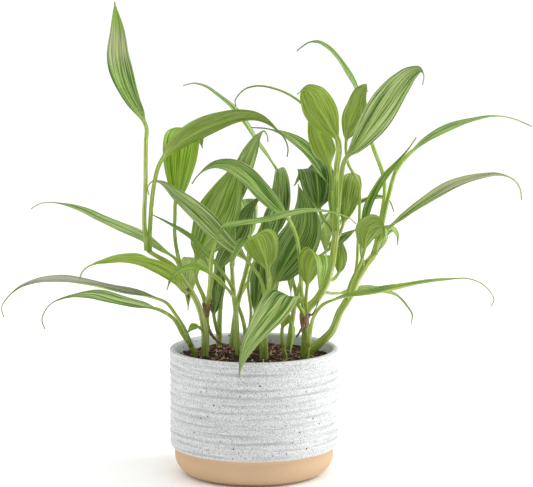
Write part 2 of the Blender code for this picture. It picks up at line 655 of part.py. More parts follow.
def pot(group):
    """The pot: floor, inner wall, rounded rim, ribbed wall, step and rounded foot."""
    profile = [(0, POT_FLOOR)]
    profile += arc((POT_INSIDE - INNER_ROUND, POT_FLOOR + INNER_ROUND), INNER_ROUND, -90, 0, 3)
    profile += [(POT_INSIDE, POT_HEIGHT - RIM_ROUND)]
    profile += arc((POT_INSIDE + RIM_ROUND, POT_HEIGHT - RIM_ROUND), RIM_ROUND, 180, 90, 2)[1:]
    profile += arc((POT_RADIUS - RIM_ROUND, POT_HEIGHT - RIM_ROUND), RIM_ROUND, 90, 0, 2)
    for rib in reversed(range(RIBS)):
        groove = RIBS_FROM + rib * RIB_PITCH
        profile += [(POT_RADIUS, groove + RIB_PITCH * (1 - RIB_CREST))]
        profile += [(POT_RADIUS - RIB_DEPTH, groove)]
    profile += [(POT_RADIUS - RIB_DEPTH, STEP_TOP), (FOOT_RADIUS, STEP_BOTTOM)]
    profile += arc((FOOT_RADIUS - FOOT_ROUND, FOOT_ROUND), FOOT_ROUND, 0, -90, 5)
    made = turned("pot", profile + [(0, 0)], group)
    made.data.materials.append(material("speckled glaze", (0.82, 0.84, 0.86), 0.45))


def soil(group, cutters):
    """The soil: fills the pot, mounded and lumpy on top, with a plain hole for each cane."""
    rings = [(0, SOIL_EDGE), *[(radius, SOIL_EDGE) for radius in reversed(SOIL_RINGS)]]
    low = [(SOIL_RADIUS, SOIL_EDGE), *arc((SOIL_RADIUS - INNER_ROUND, SOIL_BOTTOM + INNER_ROUND),
                                          INNER_ROUND, 0, -90, 3)]
    shape = evaluated_shape(turned("soil", rings + low + [(0, SOIL_BOTTOM)], group))
    bpy.data.objects.remove(bpy.data.objects["soil"])
    for point in shape.verts:
        x, y, z = point.co / MM
        if z > SOIL_EDGE - 1 and math.hypot(x, y) < SOIL_RADIUS - 1:
            point.co.z = soil_top(x, y) * MM
    bmesh.ops.triangulate(shape, faces=shape.faces)
    made = mesh_object("soil", shape, group)
    made.data.materials.append(material("potting soil", (0.06, 0.035, 0.02), 0.95))
    for stem in STEMS:
        cutter = hole_cutter(stem, cutters)
        boolean = made.modifiers.new(cutter.name, "BOOLEAN")
        boolean.operation = "DIFFERENCE"
        boolean.object = cutter


def hole_cutter(stem, cutters):
    """The plain round hole that a cane stands in."""
    foot = foot_of(stem.cane)
    bottom = foot.z - ROOTED_LENGTH - HOLE_GAP
    top = foot.z + 2 * FREE_ABOVE_SOIL
    shape = bmesh.new()
    radius = (stem.cane.thick + HOLE_GAP) / math.cos(math.pi / HOLE_SIDES)
    bmesh.ops.create_cone(shape, cap_ends=True, segments=HOLE_SIDES, radius1=radius * MM,
                          radius2=radius * MM, depth=(top - bottom) * MM)
    bmesh.ops.translate(shape, verts=shape.verts, vec=Vector((foot.x, foot.y, (top + bottom) / 2)) * MM)
    made = mesh_object("hole_" + stem.name, shape, cutters)
    made.hide_render = True
    made.display_type = "WIRE"
    return made


def leafy_stem(stem, group):
    """A cane with its leaves and dried roots, joined into one body."""
    foot = foot_of(stem.cane)
    clear = foot + Vector((0, 0, FREE_ABOVE_SOIL))
    path = smooth_path([clear, *[from_view(*point) for point in stem.cane.points[1:]]])
    tangents = tangents_of(path)
    kept = kept_samples(path, tangents, 0, len(path) - 1, PETIOLE_REACH / 2)
    rooted = foot - Vector((0, 0, ROOTED_LENGTH))
    pieces = [tube(stem.name, [rooted, *[path[index] for index in kept]], stem.cane.thick, stem.cane.thin,
                   group)]
    for leaf in stem.leaves:
        near = from_view(*leaf.petiole[0])
        start = min(path, key=lambda point: (point - near).length)
        pieces.append(mesh_object(stem.name + "_leaf", leaf_mesh(leaf, start), group))
    for root in stem.roots:
        route = smooth_path([from_view(*point) for point in root.points])
        kept = kept_samples(route, tangents_of(route), 0, len(route) - 1, BLADE_REACH)
        pieces.append(tube(stem.name + "_root", [route[index] for index in kept], root.thick, root.thin,
                           group))
    return joined(stem.name, pieces, group)


def joined(name, pieces, group):
    """Closed pieces that overlap, as one body."""
    others = bpy.data.collections.new(name + "_joined")
    bpy.context.scene.collection.children.link(others)
    for piece in pieces:
        shape = bmesh.new()
        shape.from_mesh(piece.data)
        bmesh.ops.triangulate(shape, faces=shape.faces)
        shape.to_mesh(piece.data)
        shape.free()
    for piece in pieces[1:]:
        others.objects.link(piece)
        group.objects.unlink(piece)
    boolean = pieces[0].modifiers.new("join", "BOOLEAN")
    boolean.operation = "UNION"
    boolean.operand_type = "COLLECTION"
    boolean.collection = others
    shape = evaluated_shape(pieces[0])
    for piece in pieces:
        bpy.data.objects.remove(piece)
    bpy.data.collections.remove(others)
    made = mesh_object(name, shape, group)
    made.data.materials.append(material(name + " green", (0.16, 0.30, 0.05), 0.4))
    return made


def main():
    for old in list(bpy.data.objects):
        bpy.data.objects.remove(old)
    group = bpy.data.collections.new("Potted pothos")
    cutters = bpy.data.collections.new("Cutters")
    bpy.context.scene.collection.children.link(group)
    bpy.context.scene.collection.children.link(cutters)
    pot(group)
    soil(group, cutters)
    for stem in STEMS:
        leafy_stem(stem, group)


main()
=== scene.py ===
import logging
import math
import random
from dataclasses import dataclass
from enum import Enum
from typing import Callable, Mapping, Sequence, Union

import bmesh
import bpy
import numpy as np
from mathutils import Matrix, Vector, noise


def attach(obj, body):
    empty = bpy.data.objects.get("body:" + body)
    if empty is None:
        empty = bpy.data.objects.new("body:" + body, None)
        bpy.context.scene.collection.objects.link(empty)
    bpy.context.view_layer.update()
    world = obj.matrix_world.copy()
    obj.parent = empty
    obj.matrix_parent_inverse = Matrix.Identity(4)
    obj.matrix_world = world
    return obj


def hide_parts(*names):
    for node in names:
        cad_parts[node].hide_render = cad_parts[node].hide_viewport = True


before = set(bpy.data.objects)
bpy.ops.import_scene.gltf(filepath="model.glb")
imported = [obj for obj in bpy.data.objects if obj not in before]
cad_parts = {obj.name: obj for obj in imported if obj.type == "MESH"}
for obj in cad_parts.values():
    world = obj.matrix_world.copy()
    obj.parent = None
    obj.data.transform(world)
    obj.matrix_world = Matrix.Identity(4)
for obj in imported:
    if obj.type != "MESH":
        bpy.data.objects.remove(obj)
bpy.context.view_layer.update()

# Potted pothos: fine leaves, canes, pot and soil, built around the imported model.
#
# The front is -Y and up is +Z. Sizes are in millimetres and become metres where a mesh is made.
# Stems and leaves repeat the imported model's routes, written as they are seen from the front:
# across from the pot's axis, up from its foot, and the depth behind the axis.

LOG = logging.getLogger("potted pothos")
MM = 0.001
BODY = "root"
# How far the veins lean to the leaf's tip
VEIN_LEAN = 0.6
# A direction that no stem runs along, from which the angles round it are counted
ASIDE = (0.3, 0.9, 0.1)
# What sets the waves and streaks of the stems and leaves apart
FIRST_SEED = 0.9
STEM_SEED = 2.31
LEAF_SEED = 1.37
Point = tuple[float, float, float]
Span = tuple[float, float]


class Slot(Enum):
    """The record's material slots."""

    POT = "pot"
    SOIL = "soil"
    FOLIAGE = "foliage"


class Side(Enum):
    """The two faces of a blade, as its shader reads them."""

    UPPER = 0.0
    UNDER = 1.0


class Part(Enum):
    """The finishes on one leafy stem, in the order of its material slots."""

    LEAF = 0
    CANE = 1
    DRIED = 2


# Shader maths


@dataclass(frozen=True)
class Step:
    """A smooth step from 0 at low to its strength at high, which may be the smaller of the two."""

    low: float
    high: float
    strength: float = 1.0


@dataclass(frozen=True)
class Surface:
    """A finish's relief in metres, its roughness, how much rougher its heights are, and its shine."""

    relief: float = 0.0
    roughness: float = 0.5
    uneven: float = 0.0
    specular: float = 0.5


class Signal:
    """A socket of a shader that can stand in a sum; each sum adds its Math node."""

    def __init__(self, paint: "Paint", socket: bpy.types.NodeSocket) -> None:
        """Wraps the socket.

        Args:
            paint: the material that the socket belongs to.
            socket: an output of one of its nodes.
        """
        self.paint = paint
        self.socket = socket

    def maths(self, operation: str, *terms: "Term") -> "Signal":
        """One Math node on these terms."""
        return self.paint.node("ShaderNodeMath", {"operation": operation}, *terms)

    def __add__(self, other: "Term") -> "Signal":
        """The sum."""
        return self.maths("ADD", self, other)

    def __sub__(self, other: "Term") -> "Signal":
        """The difference."""
        return self.maths("SUBTRACT", self, other)

    def __rsub__(self, other: "Term") -> "Signal":
        """The difference from a number."""
        return self.maths("SUBTRACT", other, self)

    def __mul__(self, other: "Term") -> "Signal":
        """The product."""
        return self.maths("MULTIPLY", self, other)

    __radd__ = __add__
    __rmul__ = __mul__

    def size(self) -> "Signal":
        """The value without its sign."""
        return self.maths("ABSOLUTE", self)

    def above(self, low: float, high: float) -> "Signal":
        """A smooth step from 0 at low to 1 at high.

        Args:
            low: the value where the step starts.
            high: the value where it ends, which may be the smaller one.

        Returns:
            The step, from 0 to 1.
        """
        flip = low > high
        low, high = min(low, high), max(low, high)
        ends = (1.0, 0.0) if flip else (0.0, 1.0)
        settings = {"interpolation_type": "SMOOTHSTEP"}
        return self.paint.node("ShaderNodeMapRange", settings, self, low, high, *ends)

    def step(self, step: Step) -> "Signal":
        """The value's smooth step, times its strength."""
        made = self.above(step.low, step.high)
        return made if step.strength == 1 else made * step.strength


Term = Union[Signal, float]
Colour = tuple[float, float, float]


class Paint:
    """A material under construction around one Principled shader."""

    # Where the soft edge of a speck starts and ends, as shares of its size
    speck_edge: Span = (0.25, -0.1)

    def __init__(self, name: str, surface: Surface, light: float = 0.0) -> None:
        """Starts the material.

        Args:
            name: the material's name.
            surface: its relief, roughness and shine.
            light: the strength of its own light.
        """
        self.surface = surface
        self.material = bpy.data.materials.new(name)
        self.material.use_nodes = True
        self.tree = self.material.node_tree
        self.shader = self.tree.nodes["Principled BSDF"]
        self.shader.inputs["Specular IOR Level"].default_value = surface.specular
        self.shader.inputs["Emission Strength"].default_value = light

    def node(self, kind: str, settings: Mapping[str, object], *inputs: object, output: object = 0,
             **named: object) -> Signal:
        """Adds any node.

        Args:
            kind: the node's type.
            settings: its properties, which are set before its sockets.
            inputs: values or signals for its sockets, in order.
            output: the index or name of the output to take.
            named: values or signals for sockets by name, with underscores for spaces.

        Returns:
            The chosen output.
        """
        made = self.tree.nodes.new(kind)
        for name, value in settings.items():
            setattr(made, name, value)
        sockets = [*enumerate(inputs), *((name.replace("_", " "), value) for name, value in named.items())]
        for socket, value in sockets:
            if value is not None:
                self.feed(made.inputs[socket], value)
        return Signal(self, made.outputs[output])

    def feed(self, socket: bpy.types.NodeSocket, value: object) -> None:
        """Links a signal to a socket, or sets the socket to a number or colour."""
        if isinstance(value, Signal):
            self.tree.links.new(value.socket, socket)
        elif isinstance(value, tuple) and socket.type == "RGBA":
            socket.default_value = (*value, 1.0)
        else:
            socket.default_value = value

    def place(self) -> Signal:
        """The place on the piece, in metres."""
        return self.node("ShaderNodeTexCoord", {}, output="Object")

    def split(self, vector: Signal) -> tuple[Signal, Signal, Signal]:
        """The three parts of a vector."""
        first = self.node("ShaderNodeSeparateXYZ", {}, vector)
        outputs = first.socket.node.outputs
        return first, Signal(self, outputs[1]), Signal(self, outputs[2])

    def joined(self, x: Term, y: Term, z: Term) -> Signal:
        """A vector of three parts."""
        return self.node("ShaderNodeCombineXYZ", {}, x, y, z)

    def attribute(self, name: str) -> Signal:
        """An attribute of the mesh, as a vector."""
        return self.node("ShaderNodeAttribute", {"attribute_name": name}, output="Vector")

    def noise(self, vector: Signal, scale: float, detail: float = 2.0, rough: float = 0.5) -> Signal:
        """Smooth noise from 0 to 1."""
        return self.node("ShaderNodeTexNoise", {}, Vector=vector, Scale=scale, Detail=detail,
                         Roughness=rough)

    def specks(self, vector: Signal, cell: float, size: float, share: float) -> Signal:
        """Round specks of uneven size, one at most in each cell.

        Args:
            vector: the place on the piece.
            cell: the cells' width in metres.
            size: the largest speck's radius, as a share of a cell.
            share: the share of the cells that hold a speck.

        Returns:
            1 in a speck and 0 around it.
        """
        near = self.node("ShaderNodeTexVoronoi", {}, Vector=vector, Scale=1 / cell)
        draw = self.node("ShaderNodeSeparateColor", {}, Signal(self, near.socket.node.outputs["Color"]))
        reach = draw.above(1 - share, 1.0) * size
        outer, inner = self.speck_edge
        return (near - reach).above(size * outer, size * inner)

    def mix(self, factor: Term, first: object, second: object) -> Signal:
        """A colour between two colours."""
        settings = {"data_type": "RGBA", "clamp_factor": True}
        return self.node("ShaderNodeMix", settings, factor, None, None, None, None, None, first, second,
                         output=2)

    def finish(self, colour: Signal, height: Term = 0.0, rougher: Term = 0.0) -> bpy.types.Material:
        """Gives the shader its colour, relief and roughness.

        Args:
            colour: the surface's colour.
            height: its relief, from 0 to 1.
            rougher: what is added to its roughness.

        Returns:
            The finished material.
        """
        if isinstance(height, Signal):
            depth = self.surface.relief
            normal = self.node("ShaderNodeBump", {}, Strength=1.0, Distance=depth, Height=height)
            self.feed(self.shader.inputs["Normal"], normal)
        roughness = height * self.surface.uneven + self.surface.roughness
        if isinstance(rougher, Signal):
            roughness = roughness + rougher
        self.feed(self.shader.inputs["Base Color"], colour)
        self.feed(self.shader.inputs["Roughness"], roughness)
        return self.material


# Finishes


@dataclass(frozen=True)
class LeafMarks:
    """What a leaf's finish reads on the mesh, and the noises that follow its veins."""

    along: Signal
    reach: Signal
    side: Signal
    tone: Signal
    silver: Signal
    blush: Signal
    seed: Signal
    fine: Signal
    hair: Signal
    broad: Signal


@dataclass(frozen=True)
class LeafFinish:
    """A glossy upper side with silver streaks along its veins, partly painted highlights, and a paler, satin
    underside.
    """

    dark: Colour = (0.026, 0.105, 0.001)
    middle: Colour = (0.165, 0.330, 0.006)
    bright: Colour = (0.340, 0.560, 0.010)
    silver: Colour = (0.560, 0.680, 0.270)
    under_dark: Colour = (0.130, 0.215, 0.012)
    under_bright: Colour = (0.330, 0.480, 0.030)
    rib: Colour = (0.420, 0.590, 0.080)
    petiole: Colour = (0.500, 0.610, 0.130)
    petiole_dark: Colour = (0.200, 0.340, 0.035)
    blush: Colour = (0.560, 0.500, 0.300)
    dusk: Colour = (0.400, 0.375, 0.320)
    dry_tip: Colour = (0.360, 0.330, 0.250)
    vein_lean: float = VEIN_LEAN
    halves: Step = Step(-0.01, 0.01, 4.0)
    streaks_across: float = 1.1
    streaks_along: float = 1.6
    hair_across: float = 1.8
    hair_along: float = 1.6
    hair_shift: float = 9.0
    broad_across: float = 4.0
    broad_along: float = 1.1
    broad_shift: float = 20.0
    patches: float = 45.0
    broad_light: float = 0.9
    patch_light: float = 0.4
    hair_light: float = 0.35
    # Dark lines and hairs: darker veins, and painted shade in the grooves of the pleats
    dark_lines: Step = Step(0.50, 0.42, 0.90)
    dark_hairs: Step = Step(0.49, 0.41, 0.65)
    dark_most: float = 1.15
    dark_fade: float = 0.50
    # Silver lines and hairs: the leaf's own streaks, and painted highlights on the pleats
    silver_lines: Step = Step(0.50, 0.56, 0.95)
    silver_hairs: Step = Step(0.51, 0.58, 0.85)
    silver_least: float = 0.15
    silver_clouds: Step = Step(0.28, 0.56)
    patch_blush: float = 0.8
    patch_reach: float = 0.5
    patch_start: Step = Step(0.46, 0.66)
    patch_end: Step = Step(0.88, 0.70)
    patch_hairs: Step = Step(0.38, 0.60, 0.85)
    dusk_turn: float = 1.25
    glow: Step = Step(0.74, 0.94, 0.62)
    under_lines: Step = Step(0.50, 0.42, 0.85)
    under_hairs: Step = Step(0.50, 0.58, 0.7)
    under_silver_least: float = 0.3
    rib_edge: Step = Step(0.075, 0.02)
    rib_end: Step = Step(0.95, 0.6, 0.7)
    tip: Step = Step(0.93, 1.0, 0.5)
    stalk_end: Step = Step(-0.02, 0.16)
    grooves: float = 3.2
    grooves_along: float = 0.8
    groove_edge: Step = Step(0.40, 0.56)
    sheen: Step = Step(0.54, 0.66, 0.6)
    sheen_grain: float = 240.0
    sheen_stretch: float = 0.3
    surface: Surface = Surface(relief=0.0007, roughness=0.26, uneven=0.12, specular=0.32)
    under_roughness: float = 0.20

    def marks(self, paint: Paint) -> LeafMarks:
        """Reads the mesh's blade, look and seed attributes, and adds the noises along the veins."""
        along, across, side = paint.split(paint.attribute("blade"))
        tone, silver, blush = paint.split(paint.attribute("look"))
        seed, half_width, _ = paint.split(paint.attribute("seed"))
        reach = across.size()
        vein = reach - along * (1.0 - reach) * self.vein_lean
        half = across.step(self.halves) + seed
        lines = vein * half_width * self.streaks_across
        lay = along * self.streaks_along
        hairs = paint.joined(lines * self.hair_across, lay * self.hair_along, half + self.hair_shift)
        vein = vein * self.broad_across
        clouds = paint.joined(vein, along * self.broad_along, half + self.broad_shift)
        fine = paint.noise(paint.joined(lines, lay, half), 1.0, 2.0, 0.6)
        hair = paint.noise(hairs, 1.0, 1.0)
        return LeafMarks(along, reach, side, tone, silver, blush, seed, fine, hair, paint.noise(clouds, 1.0))

    def light(self, paint: Paint, at: LeafMarks) -> Signal:
        """How light the green is: the leaf's tone, partly painted shade, made uneven by clouds, patches and
        hair lines.
        """
        patches = paint.noise(paint.place(), self.patches)
        uneven = (at.broad - 0.5) * self.broad_light + (patches - 0.5) * self.patch_light
        return at.tone + uneven + (at.hair - 0.5) * self.hair_light

    def upper(self, paint: Paint, at: LeafMarks, light: Signal) -> Signal:
        """The upper side: green with dark lines, partly painted shade in the pleats, silver streaks, partly
        painted highlights, and its patch.

        Args:
            paint: the leaf's material.
            at: what it reads.
            light: how light the green is.

        Returns:
            The colour.
        """
        green = paint.mix(light * 2.0, self.dark, self.middle)
        green = paint.mix(light * 2.0 - 1.0, green, self.bright)
        # Dark lines, partly painted shade in the grooves of the pleats, darker on darker leaves
        lines = at.fine.step(self.dark_lines) + at.hair.step(self.dark_hairs)
        green = paint.mix(lines * (self.dark_most - at.tone * self.dark_fade), green, self.dark)
        # Silver streaks, partly painted highlights on the pleats
        streaks = at.fine.step(self.silver_lines) + at.hair.step(self.silver_hairs)
        streaks = streaks * at.broad.step(self.silver_clouds) * (at.silver + self.silver_least)
        return self.flushed(paint, at, paint.mix(streaks, green, self.silver))

    def flushed(self, paint: Paint, at: LeafMarks, upper: Signal) -> Signal:
        """The upper side with its patch, pinkish or dusky, and the bright green beyond it.

        Args:
            paint: the leaf's material.
            at: what it reads.
            upper: the upper side's colour.

        Returns:
            The colour.
        """
        spread = at.blush - self.patch_blush
        start = (at.along + spread * self.patch_reach).step(self.patch_start)
        patch = start * at.along.step(self.patch_end) * at.hair.step(self.patch_hairs)
        dusky = paint.mix(spread * self.dusk_turn, self.blush, self.dusk)
        upper = paint.mix(patch * at.blush, upper, dusky)
        glow = at.along.step(self.glow) * at.blush
        return paint.mix(glow * (self.patch_blush * 2 - at.blush), upper, self.bright)

    def under(self, paint: Paint, at: LeafMarks, light: Signal) -> Signal:
        """The underside: paler green with dark and silver lines, partly painted shade and painted highlights.

        Args:
            paint: the leaf's material.
            at: what it reads.
            light: how light the green is.

        Returns:
            The colour.
        """
        below = paint.mix(light, self.under_dark, self.under_bright)
        # Dark lines and silver hairs below, partly painted shade and painted highlights
        below = paint.mix(at.fine.step(self.under_lines), below, self.under_dark)
        hairs = at.hair.step(self.under_hairs)
        return paint.mix(hairs * (at.silver + self.under_silver_least), below, self.silver)

    def stalk(self, paint: Paint, at: LeafMarks) -> Signal:
        """The petiole's colour: pale green with darker grooves, partly painted shade, and a painted silver
        sheen.
        """
        grooves = paint.joined(at.reach * self.grooves + at.seed, at.along * self.grooves_along, at.side)
        dark = paint.noise(grooves, 1.0).step(self.groove_edge)
        stalk = paint.mix(dark, self.petiole_dark, self.petiole)
        # A painted sheen, stretched along the petiole
        x, y, z = paint.split(paint.place())
        sheen = paint.noise(paint.joined(x, y, z * self.sheen_stretch), self.sheen_grain)
        return paint.mix(sheen.step(self.sheen), stalk, self.silver)

    def material(self) -> bpy.types.Material:
        """The leaf's material."""
        paint = Paint("glossy_leaf", self.surface)
        at = self.marks(paint)
        light = self.light(paint, at)
        leaf = paint.mix(at.side, self.upper(paint, at, light), self.under(paint, at, light))
        rib = at.reach.step(self.rib_edge) * at.along.step(self.rib_end)
        leaf = paint.mix(rib, leaf, self.rib)
        leaf = paint.mix(at.along.step(self.tip), leaf, self.dry_tip)
        leaf = paint.mix(at.along.step(self.stalk_end), self.stalk(paint, at), leaf)
        return paint.finish(leaf, at.fine, at.side * self.under_roughness)


@dataclass(frozen=True)
class CaneFinish:
    """Pale green cane with fine lines along it, partly painted shade between them, painted highlight lines,
    and olive rings at its joints.
    """

    pale: Colour = (0.510, 0.590, 0.105)
    green: Colour = (0.200, 0.330, 0.040)
    # gleam is a painted highlight, laid along the brightest lines
    gleam: Colour = (0.620, 0.680, 0.330)
    ring: Colour = (0.330, 0.370, 0.090)
    lines_around: float = 2.6
    lines_along: float = 40.0
    patches: float = 60.0
    patch_share: float = 0.4
    pale_lines: Step = Step(0.40, 0.56, 0.7)
    gleam_lines: Step = Step(0.55, 0.66)
    green_foot: Step = Step(0.25, 0.0, 0.5)
    joint: Step = Step(0.6, 1.0, 0.4)
    surface: Surface = Surface(relief=0.0003, roughness=0.28, uneven=0.16)

    def material(self) -> bpy.types.Material:
        """The cane's material, which reads the mesh's blade and around attributes."""
        paint = Paint("pale_cane", self.surface)
        along, ring, _ = paint.split(paint.attribute("blade"))
        x, y, length = paint.split(paint.attribute("around"))
        turns = (x * self.lines_around, y * self.lines_around, length * self.lines_along)
        lines = paint.noise(paint.joined(*turns), 1.0)
        patches = paint.noise(paint.place(), self.patches) * self.patch_share
        pale = patches + lines.step(self.pale_lines)
        colour = paint.mix(pale, self.green, self.pale)
        # Painted highlight along the brightest lines
        colour = paint.mix(lines.step(self.gleam_lines), colour, self.gleam)
        colour = paint.mix(along.step(self.green_foot), colour, self.green)
        colour = paint.mix(ring.step(self.joint), colour, self.ring)
        return paint.finish(colour, lines)


@dataclass(frozen=True)
class DriedFinish:
    """Dried sheaths and aerial roots: papery brown with darker fibres."""

    light: Colour = (0.420, 0.290, 0.160)
    dark: Colour = (0.075, 0.036, 0.020)
    fibres_across: float = 900.0
    fibres_along: float = 180.0
    fibre_share: float = 0.6
    patches: float = 130.0
    patch_share: float = 0.5
    light_from: Step = Step(0.38, 0.72)
    surface: Surface = Surface(relief=0.0004, roughness=0.62, uneven=0.3)

    def material(self) -> bpy.types.Material:
        """The dried brown material."""
        paint = Paint("dried_sheath", self.surface)
        x, y, z = paint.split(paint.place())
        lay = paint.joined(x * self.fibres_across, y * self.fibres_across, z * self.fibres_along)
        fibres = paint.noise(lay, 1.0, 3.0, 0.6)
        patches = paint.noise(paint.place(), self.patches)
        light = fibres * self.fibre_share + patches * self.patch_share
        colour = paint.mix(light.step(self.light_from), self.dark, self.light)
        return paint.finish(colour, fibres)


@dataclass(frozen=True)
class GlazeFinish:
    """White glaze with grey specks and clouds, with painted shade between the ribs and in grey bands, and an
    inner wall painted a paler, bluer white against its shade.
    """

    white: Colour = (0.790, 0.795, 0.800)
    # Painted light: the inner wall is a paler, bluer white that offsets its shade and the leaves' green light
    inner: Colour = (0.780, 0.820, 0.890)
    shade: Colour = (0.520, 0.530, 0.540)
    mottle: Colour = (0.350, 0.360, 0.370)
    fleck: Colour = (0.250, 0.255, 0.265)
    dark_fleck: Colour = (0.075, 0.070, 0.065)
    clouds: float = 70.0
    cloud_share: float = 0.4
    bands_around: float = 20.0
    bands_up: float = 420.0
    # Painted shade: grey bands round the wall, and darker glaze in the ribs' grooves
    band_edge: Step = Step(0.45, 0.66, 0.50)
    groove_edge: Step = Step(0.45, 1.0)
    groove_bands: Step = Step(0.30, 0.60, 0.60)
    grain: float = 900.0
    grain_edge: Step = Step(0.46, 0.60, 0.78)
    fleck_size: tuple[float, float, float] = (0.0021, 0.36, 0.40)
    fleck_share: float = 0.6
    dark_fleck_size: tuple[float, float, float] = (0.0065, 0.14, 0.40)
    inside_mark: Step = Step(-0.2, -0.8)
    surface: Surface = Surface(relief=0.00012, roughness=0.40, uneven=0.15, specular=0.45)

    def material(self) -> bpy.types.Material:
        """The glaze's material, which reads the mesh's groove attribute."""
        paint = Paint("speckled_glaze", self.surface)
        place = paint.place()
        groove = paint.split(paint.attribute("groove"))[0]
        x, y, z = paint.split(place)
        cloud = paint.noise(place, self.clouds, 3.0, 0.6)
        lay = paint.joined(x * self.bands_around, y * self.bands_around, z * self.bands_up)
        bands = paint.noise(lay, 1.0)
        grain = paint.noise(place, self.grain, 3.0, 0.7)
        # Painted shade in the grooves and in grey bands, with uneven clouds in the glaze
        painted_shade_and_clouds = groove.step(self.groove_edge) * bands.step(self.groove_bands)
        painted_shade_and_clouds = painted_shade_and_clouds + (cloud - 0.5) * self.cloud_share + bands.step(self.band_edge)
        colour = paint.mix(painted_shade_and_clouds, self.white, self.shade)
        colour = paint.mix(grain.step(self.grain_edge), colour, self.mottle)
        colour = paint.mix(paint.specks(place, *self.fleck_size) * self.fleck_share, colour, self.fleck)
        # The inner wall painted paler and bluer, against its shade
        colour = paint.mix(groove.step(self.inside_mark), colour, self.inner)
        colour = paint.mix(paint.specks(place, *self.dark_fleck_size), colour, self.dark_fleck)
        return paint.finish(colour, grain)


@dataclass(frozen=True)
class ClayFinish:
    """Bare tan clay, fine and matt."""

    light: Colour = (0.700, 0.505, 0.325)
    dark: Colour = (0.600, 0.405, 0.240)
    grit: Colour = (0.420, 0.260, 0.130)
    clouds: float = 30.0
    cloud_share: float = 0.6
    grain: float = 1300.0
    grain_share: float = 0.4
    grit_size: tuple[float, float, float] = (0.0030, 0.16, 0.3)
    grit_share: float = 0.6
    surface: Surface = Surface(relief=0.0001, roughness=0.80, uneven=0.12, specular=0.3)

    def material(self) -> bpy.types.Material:
        """The bare clay's material."""
        paint = Paint("bare_clay", self.surface)
        place = paint.place()
        cloud = paint.noise(place, self.clouds, 3.0)
        grain = paint.noise(place, self.grain, 2.0, 0.7)
        darker = cloud * self.cloud_share + grain * self.grain_share
        colour = paint.mix(darker, self.light, self.dark)
        colour = paint.mix(paint.specks(place, *self.grit_size) * self.grit_share, colour, self.grit)
        return paint.finish(colour, grain)


@dataclass(frozen=True)
class PeatFinish:
    """Damp dark peat with reddish fibres and pale flecks."""

    dark: Colour = (0.008, 0.004, 0.003)
    brown: Colour = (0.045, 0.020, 0.012)
    fibre: Colour = (0.260, 0.110, 0.060)
    fleck: Colour = (0.620, 0.500, 0.390)
    crumbs: float = 420.0
    crumb_share: float = 0.7
    clods: float = 110.0
    clod_share: float = 0.4
    brown_from: Step = Step(0.40, 0.75)
    fibre_across: Span = (300.0, 160.0)
    fibre_along: Span = (-500.0, 700.0)
    fibre_up: float = 400.0
    fibre_edge: Step = Step(0.62, 0.74)
    fleck_size: tuple[float, float, float] = (0.0042, 0.2, 0.25)
    surface: Surface = Surface(relief=0.0015, roughness=0.85, uneven=0.1, specular=0.3)

    def material(self) -> bpy.types.Material:
        """The peat's material."""
        paint = Paint("dark_peat", self.surface)
        place = paint.place()
        x, y, z = paint.split(place)
        crumbs = paint.noise(place, self.crumbs, 4.0, 0.65)
        clods = paint.noise(place, self.clods)
        brown = crumbs * self.crumb_share + clods * self.clod_share
        colour = paint.mix(brown.step(self.brown_from), self.dark, self.brown)
        across, along = (x * by_x + y * by_y for by_x, by_y in (self.fibre_across, self.fibre_along))
        lay = paint.joined(across, along, z * self.fibre_up)
        colour = paint.mix(paint.noise(lay, 1.0).step(self.fibre_edge), colour, self.fibre)
        colour = paint.mix(paint.specks(place, *self.fleck_size), colour, self.fleck)
        return paint.finish(colour, clods)


@dataclass(frozen=True)
class BarkFinish:
    """Chips of bark and root, reddish brown to tan."""

    red: Colour = (0.085, 0.026, 0.014)
    tan: Colour = (0.700, 0.420, 0.270)
    hues: float = 150.0
    hue_share: float = 0.9
    fibres: float = 1200.0
    fibre_share: float = 0.3
    tan_from: Step = Step(0.50, 0.80)
    surface: Surface = Surface(relief=0.0006, roughness=0.75, uneven=0.2, specular=0.3)

    def material(self) -> bpy.types.Material:
        """The bark chips' material."""
        paint = Paint("bark_chip", self.surface)
        place = paint.place()
        hue = paint.noise(place, self.hues, 1.0)
        fibres = paint.noise(place, self.fibres, 3.0, 0.6)
        tan = hue * self.hue_share + fibres * self.fibre_share
        colour = paint.mix(tan.step(self.tan_from), self.red, self.tan)
        return paint.finish(colour, fibres)


@dataclass(frozen=True)
class PearlFinish:
    """Pale grains in the soil, chalky white."""

    light: Colour = (0.800, 0.740, 0.660)
    dark: Colour = (0.450, 0.380, 0.310)
    pores: float = 1500.0
    pore_edge: Step = Step(0.35, 0.6)
    surface: Surface = Surface(relief=0.0003, roughness=0.9, specular=0.2)

    def material(self) -> bpy.types.Material:
        """The pale grains' material."""
        paint = Paint("pale_grain", self.surface)
        pores = paint.noise(paint.place(), self.pores)
        return paint.finish(paint.mix(pores.step(self.pore_edge), self.dark, self.light), pores)


@dataclass(frozen=True)
class FloorFinish:
    """Plain pale studio paper with a faint light of its own."""

    colour: Colour = (0.940, 0.940, 0.940)
    grey: Colour = (0.930, 0.930, 0.930)
    grain: float = 8.0
    light: float = 0.05
    surface: Surface = Surface(roughness=0.9, specular=0.1)

    def material(self) -> bpy.types.Material:
        """The floor's material."""
        paint = Paint("pale_paper", self.surface, self.light)
        grain = paint.noise(paint.place(), self.grain)
        return paint.finish(paint.mix(grain, self.colour, self.grey))


# The front view and paths in space


